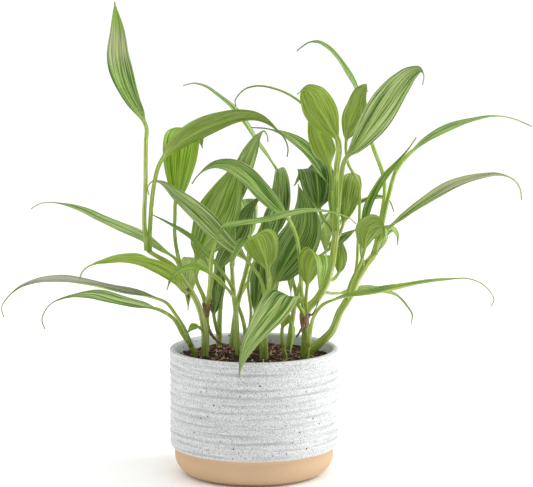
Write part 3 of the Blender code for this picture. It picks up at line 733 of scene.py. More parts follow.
@dataclass(frozen=True)
class Eye:
    """The front view: where its eye stands, and the point that it looks at."""

    distance: float = 2554.0
    height: float = 615.0
    pitch: float = math.radians(8.5)
    centre_across: float = 12.5
    centre_up: float = 228.5
    frame_width: int = 533
    sensor: float = 36.0
    clip_end: float = 100.0

    def point(self, seen: Point) -> np.ndarray:
        """The point in space at its depth, from where it is seen.

        Args:
            seen: across, up and depth.

        Returns:
            x, y and z.
        """
        across, up, depth = seen
        level = self.distance / math.cos(self.pitch)
        rise = up - self.centre_up
        ahead = level * math.cos(self.pitch) + rise * math.sin(self.pitch)
        above = rise * math.cos(self.pitch) - level * math.sin(self.pitch)
        reach = (depth + self.distance) / ahead
        return np.array((self.centre_across + (across - self.centre_across) * reach, depth,
                         self.height + above * reach))

    def camera(self) -> bpy.types.Object:
        """Adds the camera at the eye, with one millimetre at the pot's axis to each pixel."""
        bpy.ops.object.camera_add(
            location=(self.centre_across * MM, -self.distance * MM, self.height * MM),
            rotation=(math.pi / 2 - self.pitch, 0, 0))
        camera = bpy.context.object
        camera.data.sensor_fit = "HORIZONTAL"
        camera.data.sensor_width = self.sensor
        camera.data.lens = self.sensor * self.distance / math.cos(self.pitch) / self.frame_width
        camera.data.clip_end = self.clip_end
        return camera


EYE = Eye()


class Route:
    """A smooth path through points, with its direction at each sample."""

    def __init__(self, points: Sequence[np.ndarray], steps: int = 12, bend_worth: float = 22.0) -> None:
        """Runs the path through the points.

        Args:
            points: the points in space, at least two.
            steps: the samples from each point to the next.
            bend_worth: the length that counts as much as a bend of one radian in stations.
        """
        self.steps = steps
        self.bend_worth = bend_worth
        self.points = self.smooth([np.asarray(point, float) for point in points])
        ahead = np.vstack([self.points[1:], self.points[-1:]])
        behind = np.vstack([self.points[:1], self.points[:-1]])
        self.tangents = unit(ahead - behind)
        strides = np.linalg.norm(np.diff(self.points, axis=0), axis=1)
        self.lengths = np.concatenate([[0.0], np.cumsum(strides)])

    def smooth(self, points: list[np.ndarray]) -> np.ndarray:
        """Catmull-Rom samples, spaced by chord length.

        Args:
            points: the points that the path passes through.

        Returns:
            One row for each sample.
        """
        ends = [2 * points[0] - points[1], *points, 2 * points[-1] - points[-2]]
        share = np.linspace(0, 1, self.steps + 1)[1:, None]
        path = [points[0][None]]
        for before, start, end, after in zip(ends, ends[1:], ends[2:], ends[3:]):
            chords = [np.linalg.norm(pair) for pair in (start - before, end - start, after - end)]
            leave = start + self.slope(before, start, end, *chords[:2]) * chords[1] / 3
            arrive = end - self.slope(start, end, after, *chords[1:]) * chords[1] / 3
            rest = 1 - share
            path.append(rest ** 3 * start + 3 * rest ** 2 * share * leave
                        + 3 * rest * share ** 2 * arrive + share ** 3 * end)
        return np.vstack(path)

    @staticmethod
    def slope(before: np.ndarray, here: np.ndarray, after: np.ndarray, back: float,
              ahead: float) -> np.ndarray:
        """Slope of the smooth path at a point between two others."""
        return (here - before) / back - (after - before) / (back + ahead) + (after - here) / ahead

    def carried(self, seed: int, faces: Sequence[float]) -> np.ndarray:
        """Normals that start at faces at the seed and turn no more than the path does.

        Args:
            seed: the sample where the normal is given.
            faces: the normal there, roughly.

        Returns:
            One normal for each sample.
        """
        tangents = [Vector(row) for row in self.tangents]
        start = Vector(faces)
        start = (start - tangents[seed] * start.dot(tangents[seed])).normalized()
        normals = [start] * len(tangents)
        for order in (range(seed + 1, len(tangents)), range(seed - 1, -1, -1)):
            last = seed
            for index in order:
                turn = tangents[last].rotation_difference(tangents[index])
                normals[index] = turn @ normals[last]
                last = index
        return np.array(normals)

    def stations(self, first: int, last: int, count: int) -> np.ndarray:
        """Lengths along the path that are closer together where it bends.

        Args:
            first: the sample where they start.
            last: the sample where they end.
            count: how many there are.

        Returns:
            The lengths, from the first sample's to the last one's.
        """
        turns = np.sum(self.tangents[1:] * self.tangents[:-1], axis=1)
        cost = np.diff(self.lengths) + self.bend_worth * np.arccos(np.clip(turns, -1, 1))
        spent = np.concatenate([[0.0], np.cumsum(cost)])[first:last + 1]
        return np.interp(np.linspace(spent[0], spent[-1], count), spent, self.lengths[first:last + 1])

    def paced(self, station: float, least: int) -> np.ndarray:
        """Stations from end to end, about a station's length apart and at least so many."""
        return self.stations(0, len(self.points) - 1, max(least, round(self.lengths[-1] / station)))

    def at(self, lengths: np.ndarray, rows: np.ndarray) -> np.ndarray:
        """Values kept for each sample, read at these lengths.

        Args:
            lengths: lengths along the path.
            rows: a row of three values for each sample.

        Returns:
            A row for each length.
        """
        return np.stack([np.interp(lengths, self.lengths, rows[:, axis]) for axis in range(3)], axis=1)


def unit(rows: np.ndarray) -> np.ndarray:
    """The rows at length one."""
    return rows / np.linalg.norm(rows, axis=-1, keepdims=True)


def smooth_step(value: np.ndarray) -> np.ndarray:
    """A smooth step from 0 at 0 to 1 at 1."""
    held = np.clip(value, 0, 1)
    return held * held * (3 - 2 * held)


# Modelling


def deselect() -> None:
    """Leaves nothing selected."""
    bpy.ops.object.select_all(action="DESELECT")


def edit(piece: bpy.types.Object) -> None:
    """Opens the piece in edit mode with all of it selected."""
    deselect()
    bpy.context.view_layer.objects.active = piece
    piece.select_set(True)
    bpy.ops.object.mode_set(mode="EDIT")
    bpy.ops.mesh.select_all(action="SELECT")


def leave_edit() -> None:
    """Goes back to object mode."""
    bpy.ops.object.mode_set(mode="OBJECT")


def joined(pieces: Sequence[bpy.types.Object], name: str) -> bpy.types.Object:
    """Joins objects into the first one.

    Args:
        pieces: the objects, with their places in their meshes.
        name: the joined object's name.

    Returns:
        The joined object.
    """
    deselect()
    for piece in pieces:
        piece.select_set(True)
    bpy.context.view_layer.objects.active = pieces[0]
    if len(pieces) > 1:
        bpy.ops.object.join()
    pieces[0].name = name
    pieces[0].data.name = name
    return pieces[0]


def place_piece(piece: bpy.types.Object, nodes: Sequence[str]) -> None:
    """Lets a finished piece ride on the part and stand for its nodes.

    Args:
        piece: the finished piece.
        nodes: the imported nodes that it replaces.
    """
    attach(piece, BODY)
    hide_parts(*nodes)
    LOG.info("%s stands for %s with %d faces", piece.name, ", ".join(nodes), len(piece.data.polygons))


class Loft:
    """A closed skin over rings of points, from a grid that is wrapped into a tube."""

    # Points nearer than this are one, in metres
    merge: float = 0.000001

    def __init__(self, name: str, rings: np.ndarray) -> None:
        """Makes the skin.

        Args:
            name: the object's name.
            rings: stations by points by xyz, in millimetres.
        """
        self.rings = rings
        stations, around = rings.shape[:2]
        deselect()
        bpy.ops.mesh.primitive_grid_add(x_subdivisions=around, y_subdivisions=stations - 1, size=MM,
                                        calc_uvs=True)
        self.piece = bpy.context.object
        self.piece.name = name
        closed = np.concatenate([rings, rings[:, :1]], axis=1) * MM
        self.piece.data.vertices.foreach_set("co", closed.reshape(-1).astype(np.float32))

    def attribute(self, name: str, values: np.ndarray) -> None:
        """Keeps three values for each point of the rings.

        Args:
            name: the attribute's name.
            values: stations by points by three values.
        """
        closed = np.concatenate([values, values[:, :1]], axis=1)
        kept = self.piece.data.attributes.new(name, "FLOAT_VECTOR", "POINT")
        kept.data.foreach_set("vector", closed.reshape(-1).astype(np.float32))

    def closed(self) -> bpy.types.Object:
        """Merges the seam, closes both ends and turns the faces outward.

        Returns:
            The finished object, smooth, with its place in its mesh.
        """
        edit(self.piece)
        bpy.ops.mesh.remove_doubles(threshold=self.merge)
        bpy.ops.mesh.select_all(action="DESELECT")
        bpy.ops.mesh.select_non_manifold()
        bpy.ops.mesh.edge_face_add()
        bpy.ops.mesh.select_all(action="SELECT")
        bpy.ops.mesh.normals_make_consistent(inside=False)
        leave_edit()
        bpy.ops.object.shade_smooth()
        return self.piece


# Foliage


@dataclass(frozen=True)
class LeafForm:
    """The sizes that all the leaves share."""

    thickness: float = 0.6
    edge_thickness: float = 0.3
    rib_depth: float = 0.75
    rib_width: float = 1.0
    rib_groove: float = 0.4
    groove_half_width: float = 8.0
    tip_half_width: float = 0.55
    tip_thickness: float = 0.45
    tail_taper: float = 1.45
    sheath_grow: float = 0.9
    sheath_length: float = 16.0
    stalk_turn: float = 82.0
    channel: float = 0.5
    channel_width: float = 0.4
    width_power: float = 2.25
    blend_length: float = 0.12
    keel: float = 0.10
    pleats: float = 4.5
    pleat_depth: float = 0.34
    pleat_shift: float = 0.4
    pleat_half_width: float = 13.0
    vein_lean: float = VEIN_LEAN
    wave: float = 0.07
    waves: float = 2.3
    wave_shift: float = 1.9
    wave_start: float = 0.25
    seed_turn: float = 1.7
    columns: tuple[tuple[float, int], ...] = ((24.0, 33), (15.0, 25), (0.0, 17))
    blade_stations: int = 56
    petiole_station: float = 5.0
    petiole_stations: int = 4


@dataclass(frozen=True)
class Leaf:
    """A petiole that widens into a blade.

    The petiole starts on its cane, fold is the rise of each half of the blade's V in degrees,
    faces is where its upper side looks, tail is the share of its length that is only a thin
    drip tip, widest is the share where it is widest, and stalk is the petiole's radius. tone
    runs from dark to bright, and is partly painted shade: leaves that sit in shade are dark.
    silver runs from plain to streaked. blush is a pinkish patch at 0.8, and a dusky grey along
    most of the blade at 1.6.
    """

    petiole: Sequence[Point]
    blade: Sequence[Point]
    width: float
    faces: Point
    fold: float = 14.0
    tail: float = 0.0
    widest: float = 1.0 / 3.0
    stalk: float = 1.5
    tone: float = 0.5
    silver: float = 0.4
    blush: float = 0.0
    form: LeafForm = LeafForm()

    def columns(self) -> int:
        """Points across the blade: more on a wide one."""
        return next(count for width, count in self.form.columns if self.width > width)

    def route(self, start: np.ndarray) -> Route:
        """The path from the cane to the tip."""
        return Route([start, *(EYE.point(seen) for seen in (*self.petiole[1:], *self.blade))])

    def broad(self, share: np.ndarray) -> np.ndarray:
        """Width of the blade along its length, 1 at its widest."""
        held = np.clip(share / (1 - self.tail), 0, 1)
        rise = (held / self.widest) ** (self.form.width_power * self.widest)
        return rise * ((1 - held) / (1 - self.widest)) ** (self.form.width_power * (1 - self.widest))

    def build(self, name: str, start: np.ndarray, seed: float) -> bpy.types.Object:
        """Builds the leaf.

        Args:
            name: the object's name.
            start: the point on the cane's middle line that the petiole grows from.
            seed: sets this leaf's waves and streaks apart from the others'.

        Returns:
            The leaf, closed and smooth, with the attributes that its finish reads.
        """
        route = self.route(start)
        base = route.steps * len(self.petiole)
        blade_length = route.lengths[-1] - route.lengths[base]
        widest = int(np.argmax(route.lengths > route.lengths[base] + blade_length * self.widest))
        normals = route.carried(widest, self.faces)
        stalk = round(route.lengths[base] / self.form.petiole_station)
        stalk = max(self.form.petiole_stations, stalk)
        blade = route.stations(base, len(route.points) - 1, self.form.blade_stations)
        lengths = np.concatenate([route.stations(0, base, stalk)[:-1], blade])
        share = (lengths - route.lengths[base]) / blade_length
        tangent = unit(route.at(lengths, route.tangents))
        normal = route.at(lengths, normals)
        normal = unit(normal - tangent * np.sum(normal * tangent, axis=1, keepdims=True))
        across = np.cross(tangent, normal)
        x, y, reach, side = self.sections(share, lengths, seed)
        middle = route.at(lengths, route.points)
        loft = Loft(name, middle[:, None] + across[:, None] * x[..., None] + normal[:, None] * y[..., None])
        along = np.broadcast_to(share[:, None], x.shape)
        loft.attribute("blade", np.stack([along, reach, side], axis=-1))
        loft.attribute("look", np.broadcast_to((self.tone, self.silver, self.blush), (*x.shape, 3)))
        loft.attribute("seed", np.broadcast_to((seed, self.width / 2, 0.0), (*x.shape, 3)))
        return loft.closed()

    def sections(self, share: np.ndarray, lengths: np.ndarray, seed: float) -> tuple[np.ndarray, ...]:
        """The outline of the leaf at each station, from its left edge over the top and back below.

        Args:
            share: each station's place along the blade, negative on the petiole.
            lengths: each station's distance from the cane.
            seed: sets this leaf's waves apart.

        Returns:
            x and y of each point, its place across from -1 to 1, and its side of the blade.
        """
        line = np.linspace(-1, 1, self.columns())
        reach = np.concatenate([line, line[::-1]])[None].repeat(len(share), 0)
        sides = np.repeat((Side.UPPER.value, Side.UNDER.value), self.columns())
        side = sides[None].repeat(len(share), 0)
        held = np.clip(share, 0, 1)[:, None]
        blade_x, blade_y = self.blade_section(held, reach, side > 0.5, seed)
        stalk_x, stalk_y = self.stalk_section(lengths[:, None], reach, side > 0.5)
        blend = smooth_step(held / self.form.blend_length)
        return stalk_x + (blade_x - stalk_x) * blend, stalk_y + (blade_y - stalk_y) * blend, reach, side

    def blade_section(self, share: np.ndarray, reach: np.ndarray, under: np.ndarray,
                      seed: float) -> tuple[np.ndarray, np.ndarray]:
        """x and y of the blade's points: thin at the edge, with a rib below and a groove above."""
        form = self.form
        tail = form.tip_half_width + form.tail_taper * (1 - share)
        half = np.maximum(tail, self.broad(share) * self.width / 2)
        grow = (1 - np.abs(reach)) ** 0.5
        thick = form.edge_thickness + (form.thickness - form.edge_thickness) * grow
        thick = thick + form.tip_thickness * share ** 3
        rib = np.exp(-(half * reach / form.rib_width) ** 2) * (1 - share)
        below = -thick / 2 - form.rib_depth * rib
        above = thick / 2 - form.rib_groove * rib * np.minimum(1, half / form.groove_half_width)
        return half * reach, self.surface(share, half, reach, seed) + np.where(under, below, above)

    def stalk_section(self, lengths: np.ndarray, reach: np.ndarray,
                      under: np.ndarray) -> tuple[np.ndarray, np.ndarray]:
        """x and y of the petiole's points: round, channelled above, and wider at its sheath."""
        form = self.form
        turn = 90 - form.stalk_turn * reach
        angle = np.radians(np.where(under, -turn, turn))
        radius = self.stalk + form.sheath_grow * np.exp(-lengths / form.sheath_length)
        channel = form.channel * np.exp(-(reach / form.channel_width) ** 2) * ~under
        return radius * np.cos(angle), radius * np.sin(angle) - channel

    def surface(self, share: np.ndarray, half: np.ndarray, reach: np.ndarray, seed: float) -> np.ndarray:
        """Height of the blade's middle surface: a soft V, pleats along its veins and a wavy edge."""
        form = self.form
        out = np.abs(reach)
        edge = half * math.tan(math.radians(self.fold))
        fold = edge * (np.hypot(out, form.keel) - form.keel) / (math.hypot(1, form.keel) - form.keel)
        vein = out - form.vein_lean * share * (1 - out)
        pleats = np.cos(2 * math.pi * form.pleats * vein + np.sign(reach) * form.pleat_shift + seed)
        pleats *= form.pleat_depth * np.minimum(1, half / form.pleat_half_width)
        pleats *= np.sin(math.pi * np.clip(out, 0, 1)) ** 0.5
        phase = seed * form.seed_turn + np.where(reach > 0, 0.0, form.wave_shift)
        wave = form.wave * half * out ** 2 * np.sin(2 * math.pi * form.waves * share + phase)
        return fold + pleats + wave * smooth_step(share / form.wave_start)


@dataclass(frozen=True)
class Cane:
    """A stem that tapers from thick to thin radius, with low ridges where its sheaths overlap."""

    points: Sequence[Point]
    thick: float
    thin: float
    sides: int = 24
    station: float = 1.6
    rooted_length: float = 26.0
    free_above_soil: float = 4.0
    joint_swell: float = 0.22
    joint_reach: float = 2.4
    flatness: float = 0.06
    flats: int = 2
    ridge: float = 0.045
    ridges: int = 5
    twist: float = 0.008
    rounded_end: float = 0.02
    least_end: float = 0.05
    least_stations: int = 4

    def foot(self, soil: "Soil") -> np.ndarray:
        """Where the cane stands on the soil."""
        x, y, _ = EYE.point(self.points[0])
        return np.array((x, y, soil.rest_height(x, y)))

    def free(self, soil: "Soil") -> Route:
        """The path of the cane above the soil."""
        clear = self.foot(soil) + (0, 0, self.free_above_soil)
        return Route([clear, *(EYE.point(seen) for seen in self.points[1:])])

    def build(self, name: str, soil: "Soil", joints: Sequence[np.ndarray]) -> bpy.types.Object:
        """Builds the cane.

        Args:
            name: the object's name.
            soil: the soil that it stands in.
            joints: the points where its petioles grow out.

        Returns:
            The cane, closed and smooth.
        """
        route = self.free(soil)
        rooted = self.foot(soil) - (0, 0, self.rooted_length)
        lengths = route.paced(self.station, self.least_stations)
        centre = np.vstack([rooted, route.at(lengths, route.points)])
        tangent = np.vstack([(0, 0, 1), unit(route.at(lengths, route.tangents))])
        share = np.concatenate([[0.0], lengths / route.lengths[-1]])
        gaps = np.linalg.norm(centre[:, None] - np.array(joints)[None], axis=2)
        ring = np.max(np.exp(-(gaps / self.joint_reach) ** 2), axis=1)
        radius = self.thick + (self.thin - self.thick) * share + self.joint_swell * ring
        radius *= np.sqrt(np.clip((1 - share) / self.rounded_end, self.least_end, 1))
        angle, _ = circle(tangent, self.sides)
        turn = share[:, None] * route.lengths[-1] * self.twist
        lobes = 1 + self.flatness * np.cos(self.flats * angle + turn)
        lobes = lobes + self.ridge * np.cos(self.ridges * angle - 2 * turn)
        return tube(name, centre, tangent, radius[:, None] * lobes, share, ring)


@dataclass(frozen=True)
class Root:
    """A dried sheath or thin aerial root on a cane."""

    points: Sequence[Point]
    thick: float
    thin: float
    sides: int = 10
    station: float = 1.2
    least_stations: int = 8
    knobs: float = 0.28
    knob_turn: float = 1.9
    knob_beat: float = 0.7
    end_share: float = 0.3

    def build(self, name: str, seed: float) -> bpy.types.Object:
        """Builds the root, knobbly and tapered."""
        route = Route([EYE.point(seen) for seen in self.points])
        lengths = route.paced(self.station, self.least_stations)
        share = lengths / route.lengths[-1]
        knobs = np.sin(lengths * self.knob_turn + seed) * np.sin(lengths * self.knob_beat + 2 * seed)
        radius = (self.thick + (self.thin - self.thick) * share) * (1 + self.knobs * knobs)
        radius[-1] *= self.end_share
        tangent = unit(route.at(lengths, route.tangents))
        round_radius = np.repeat(radius[:, None], self.sides, axis=1)
        return tube(name, route.at(lengths, route.points), tangent, round_radius, share, share * 0)


def circle(tangent: np.ndarray, sides: int) -> tuple[np.ndarray, np.ndarray]:
    """Angles round a path, and the outward direction at each of them for each station."""
    first = unit(np.cross(tangent, ASIDE))
    second = np.cross(tangent, first)
    angle = np.linspace(0, 2 * math.pi, sides, endpoint=False)
    outward = first[:, None] * np.cos(angle)[:, None] + second[:, None] * np.sin(angle)[:, None]
    return angle, outward


def tube(name: str, centre: np.ndarray, tangent: np.ndarray, radius: np.ndarray, share: np.ndarray,
         ring: np.ndarray) -> bpy.types.Object:
    """A closed tube.

    Args:
        name: the object's name.
        centre: its middle line.
        tangent: its direction at each station.
        radius: its radius at each station and side.
        share: each station's place along it, from 0 to 1.
        ring: how much of a joint each station is.

    Returns:
        The tube as a smooth object.
    """
    angle, outward = circle(tangent, radius.shape[1])
    loft = Loft(name, centre[:, None] + outward * radius[..., None])
    strides = np.linalg.norm(np.diff(centre, axis=0), axis=1)
    length = np.concatenate([[0.0], np.cumsum(strides)])[:, None] * MM
    loft.attribute("around", np.stack(np.broadcast_arrays(np.cos(angle), np.sin(angle), length), axis=-1))
    values = np.stack([share, ring, ring * 0], axis=-1)
    loft.attribute("blade", np.broadcast_to(values[:, None], (*radius.shape, 3)))
    return loft.closed()


@dataclass(frozen=True)
class Sheath:
    """A torn, papery sheath round a cane, from one share of its free length to another.

    It flares, crumples and tears as often round the cane as lobes says.
    """

    start: float
    end: float
    flare: float
    sides: int = 18
    stations: int = 9
    gap: float = 0.5
    sink: float = 0.3
    tears: float = 1.8
    crumple: float = 0.35
    uneven_flare: float = 0.5
    lobes: tuple[int, int, int] = (2, 3, 4)

    def build(self, name: str, cane: Cane, soil: "Soil", seed: float) -> bpy.types.Object:
        """Builds the sheath around its cane."""
        route = cane.free(soil)
        share = np.linspace(self.start, self.end, self.stations)
        centre = route.at(share * route.lengths[-1], route.points)
        tangent = unit(route.at(share * route.lengths[-1], route.tangents))
        angle, outward = circle(tangent, self.sides)
        rise = np.linspace(0, 1, len(share))[:, None]
        wall = (cane.thick + (cane.thin - cane.thick) * share + self.gap)[:, None]
        flares, crumples, tears = (np.sin(lobe * angle + seed) for lobe in self.lobes)
        radius = wall + self.flare * rise ** 2 * (1 + self.uneven_flare * flares)
        radius = radius + self.crumple * crumples * rise
        tears = self.tears * tears * rise ** 3
        outer = centre[:, None] + outward * radius[..., None] + tangent[:, None] * tears[..., None]
        inner = centre[:, None] + outward * (wall[..., None] - self.gap - self.sink)
        return Loft(name, np.concatenate([outer, inner[::-1]])).closed()


@dataclass(frozen=True)
class Stem:
    """A cane with its leaves, dried roots and sheaths, as one piece that stands for one node."""

    node: str
    cane: Cane
    leaves: Sequence[Leaf]
    roots: Sequence[Root] = ()
    sheaths: Sequence[Sheath] = ()

    def build(self, soil: "Soil", finishes: Sequence[bpy.types.Material], seed: float) -> bpy.types.Object:
        """Builds and dresses the stem.

        Args:
            soil: the soil that it stands in.
            finishes: the materials in the order of Part.
            seed: sets this stem apart from the others.

        Returns:
            The finished piece.
        """
        path = self.cane.free(soil).points
        starts = []
        for leaf in self.leaves:
            near = EYE.point(leaf.petiole[0])
            starts.append(path[np.argmin(np.linalg.norm(path - near, axis=1))])
        made = [(Part.CANE, self.cane.build(self.node + "_cane", soil, starts))]
        for number, (leaf, start) in enumerate(zip(self.leaves, starts)):
            made.append((Part.LEAF, leaf.build(self.node + "_leaf", start, seed + LEAF_SEED * number)))
        for root in self.roots:
            made.append((Part.DRIED, root.build(self.node + "_root", seed)))
        for sheath in self.sheaths:
            made.append((Part.DRIED, sheath.build(self.node + "_sheath", self.cane, soil, seed)))
        for part, piece in made:
            piece.data.materials.append(finishes[part.value])
        piece = joined([piece for _, piece in made], self.node.replace("stem", "foliage"))
        place_piece(piece, [self.node])
        return piece


EDGE_ON = (0, -0.2, 0.98)

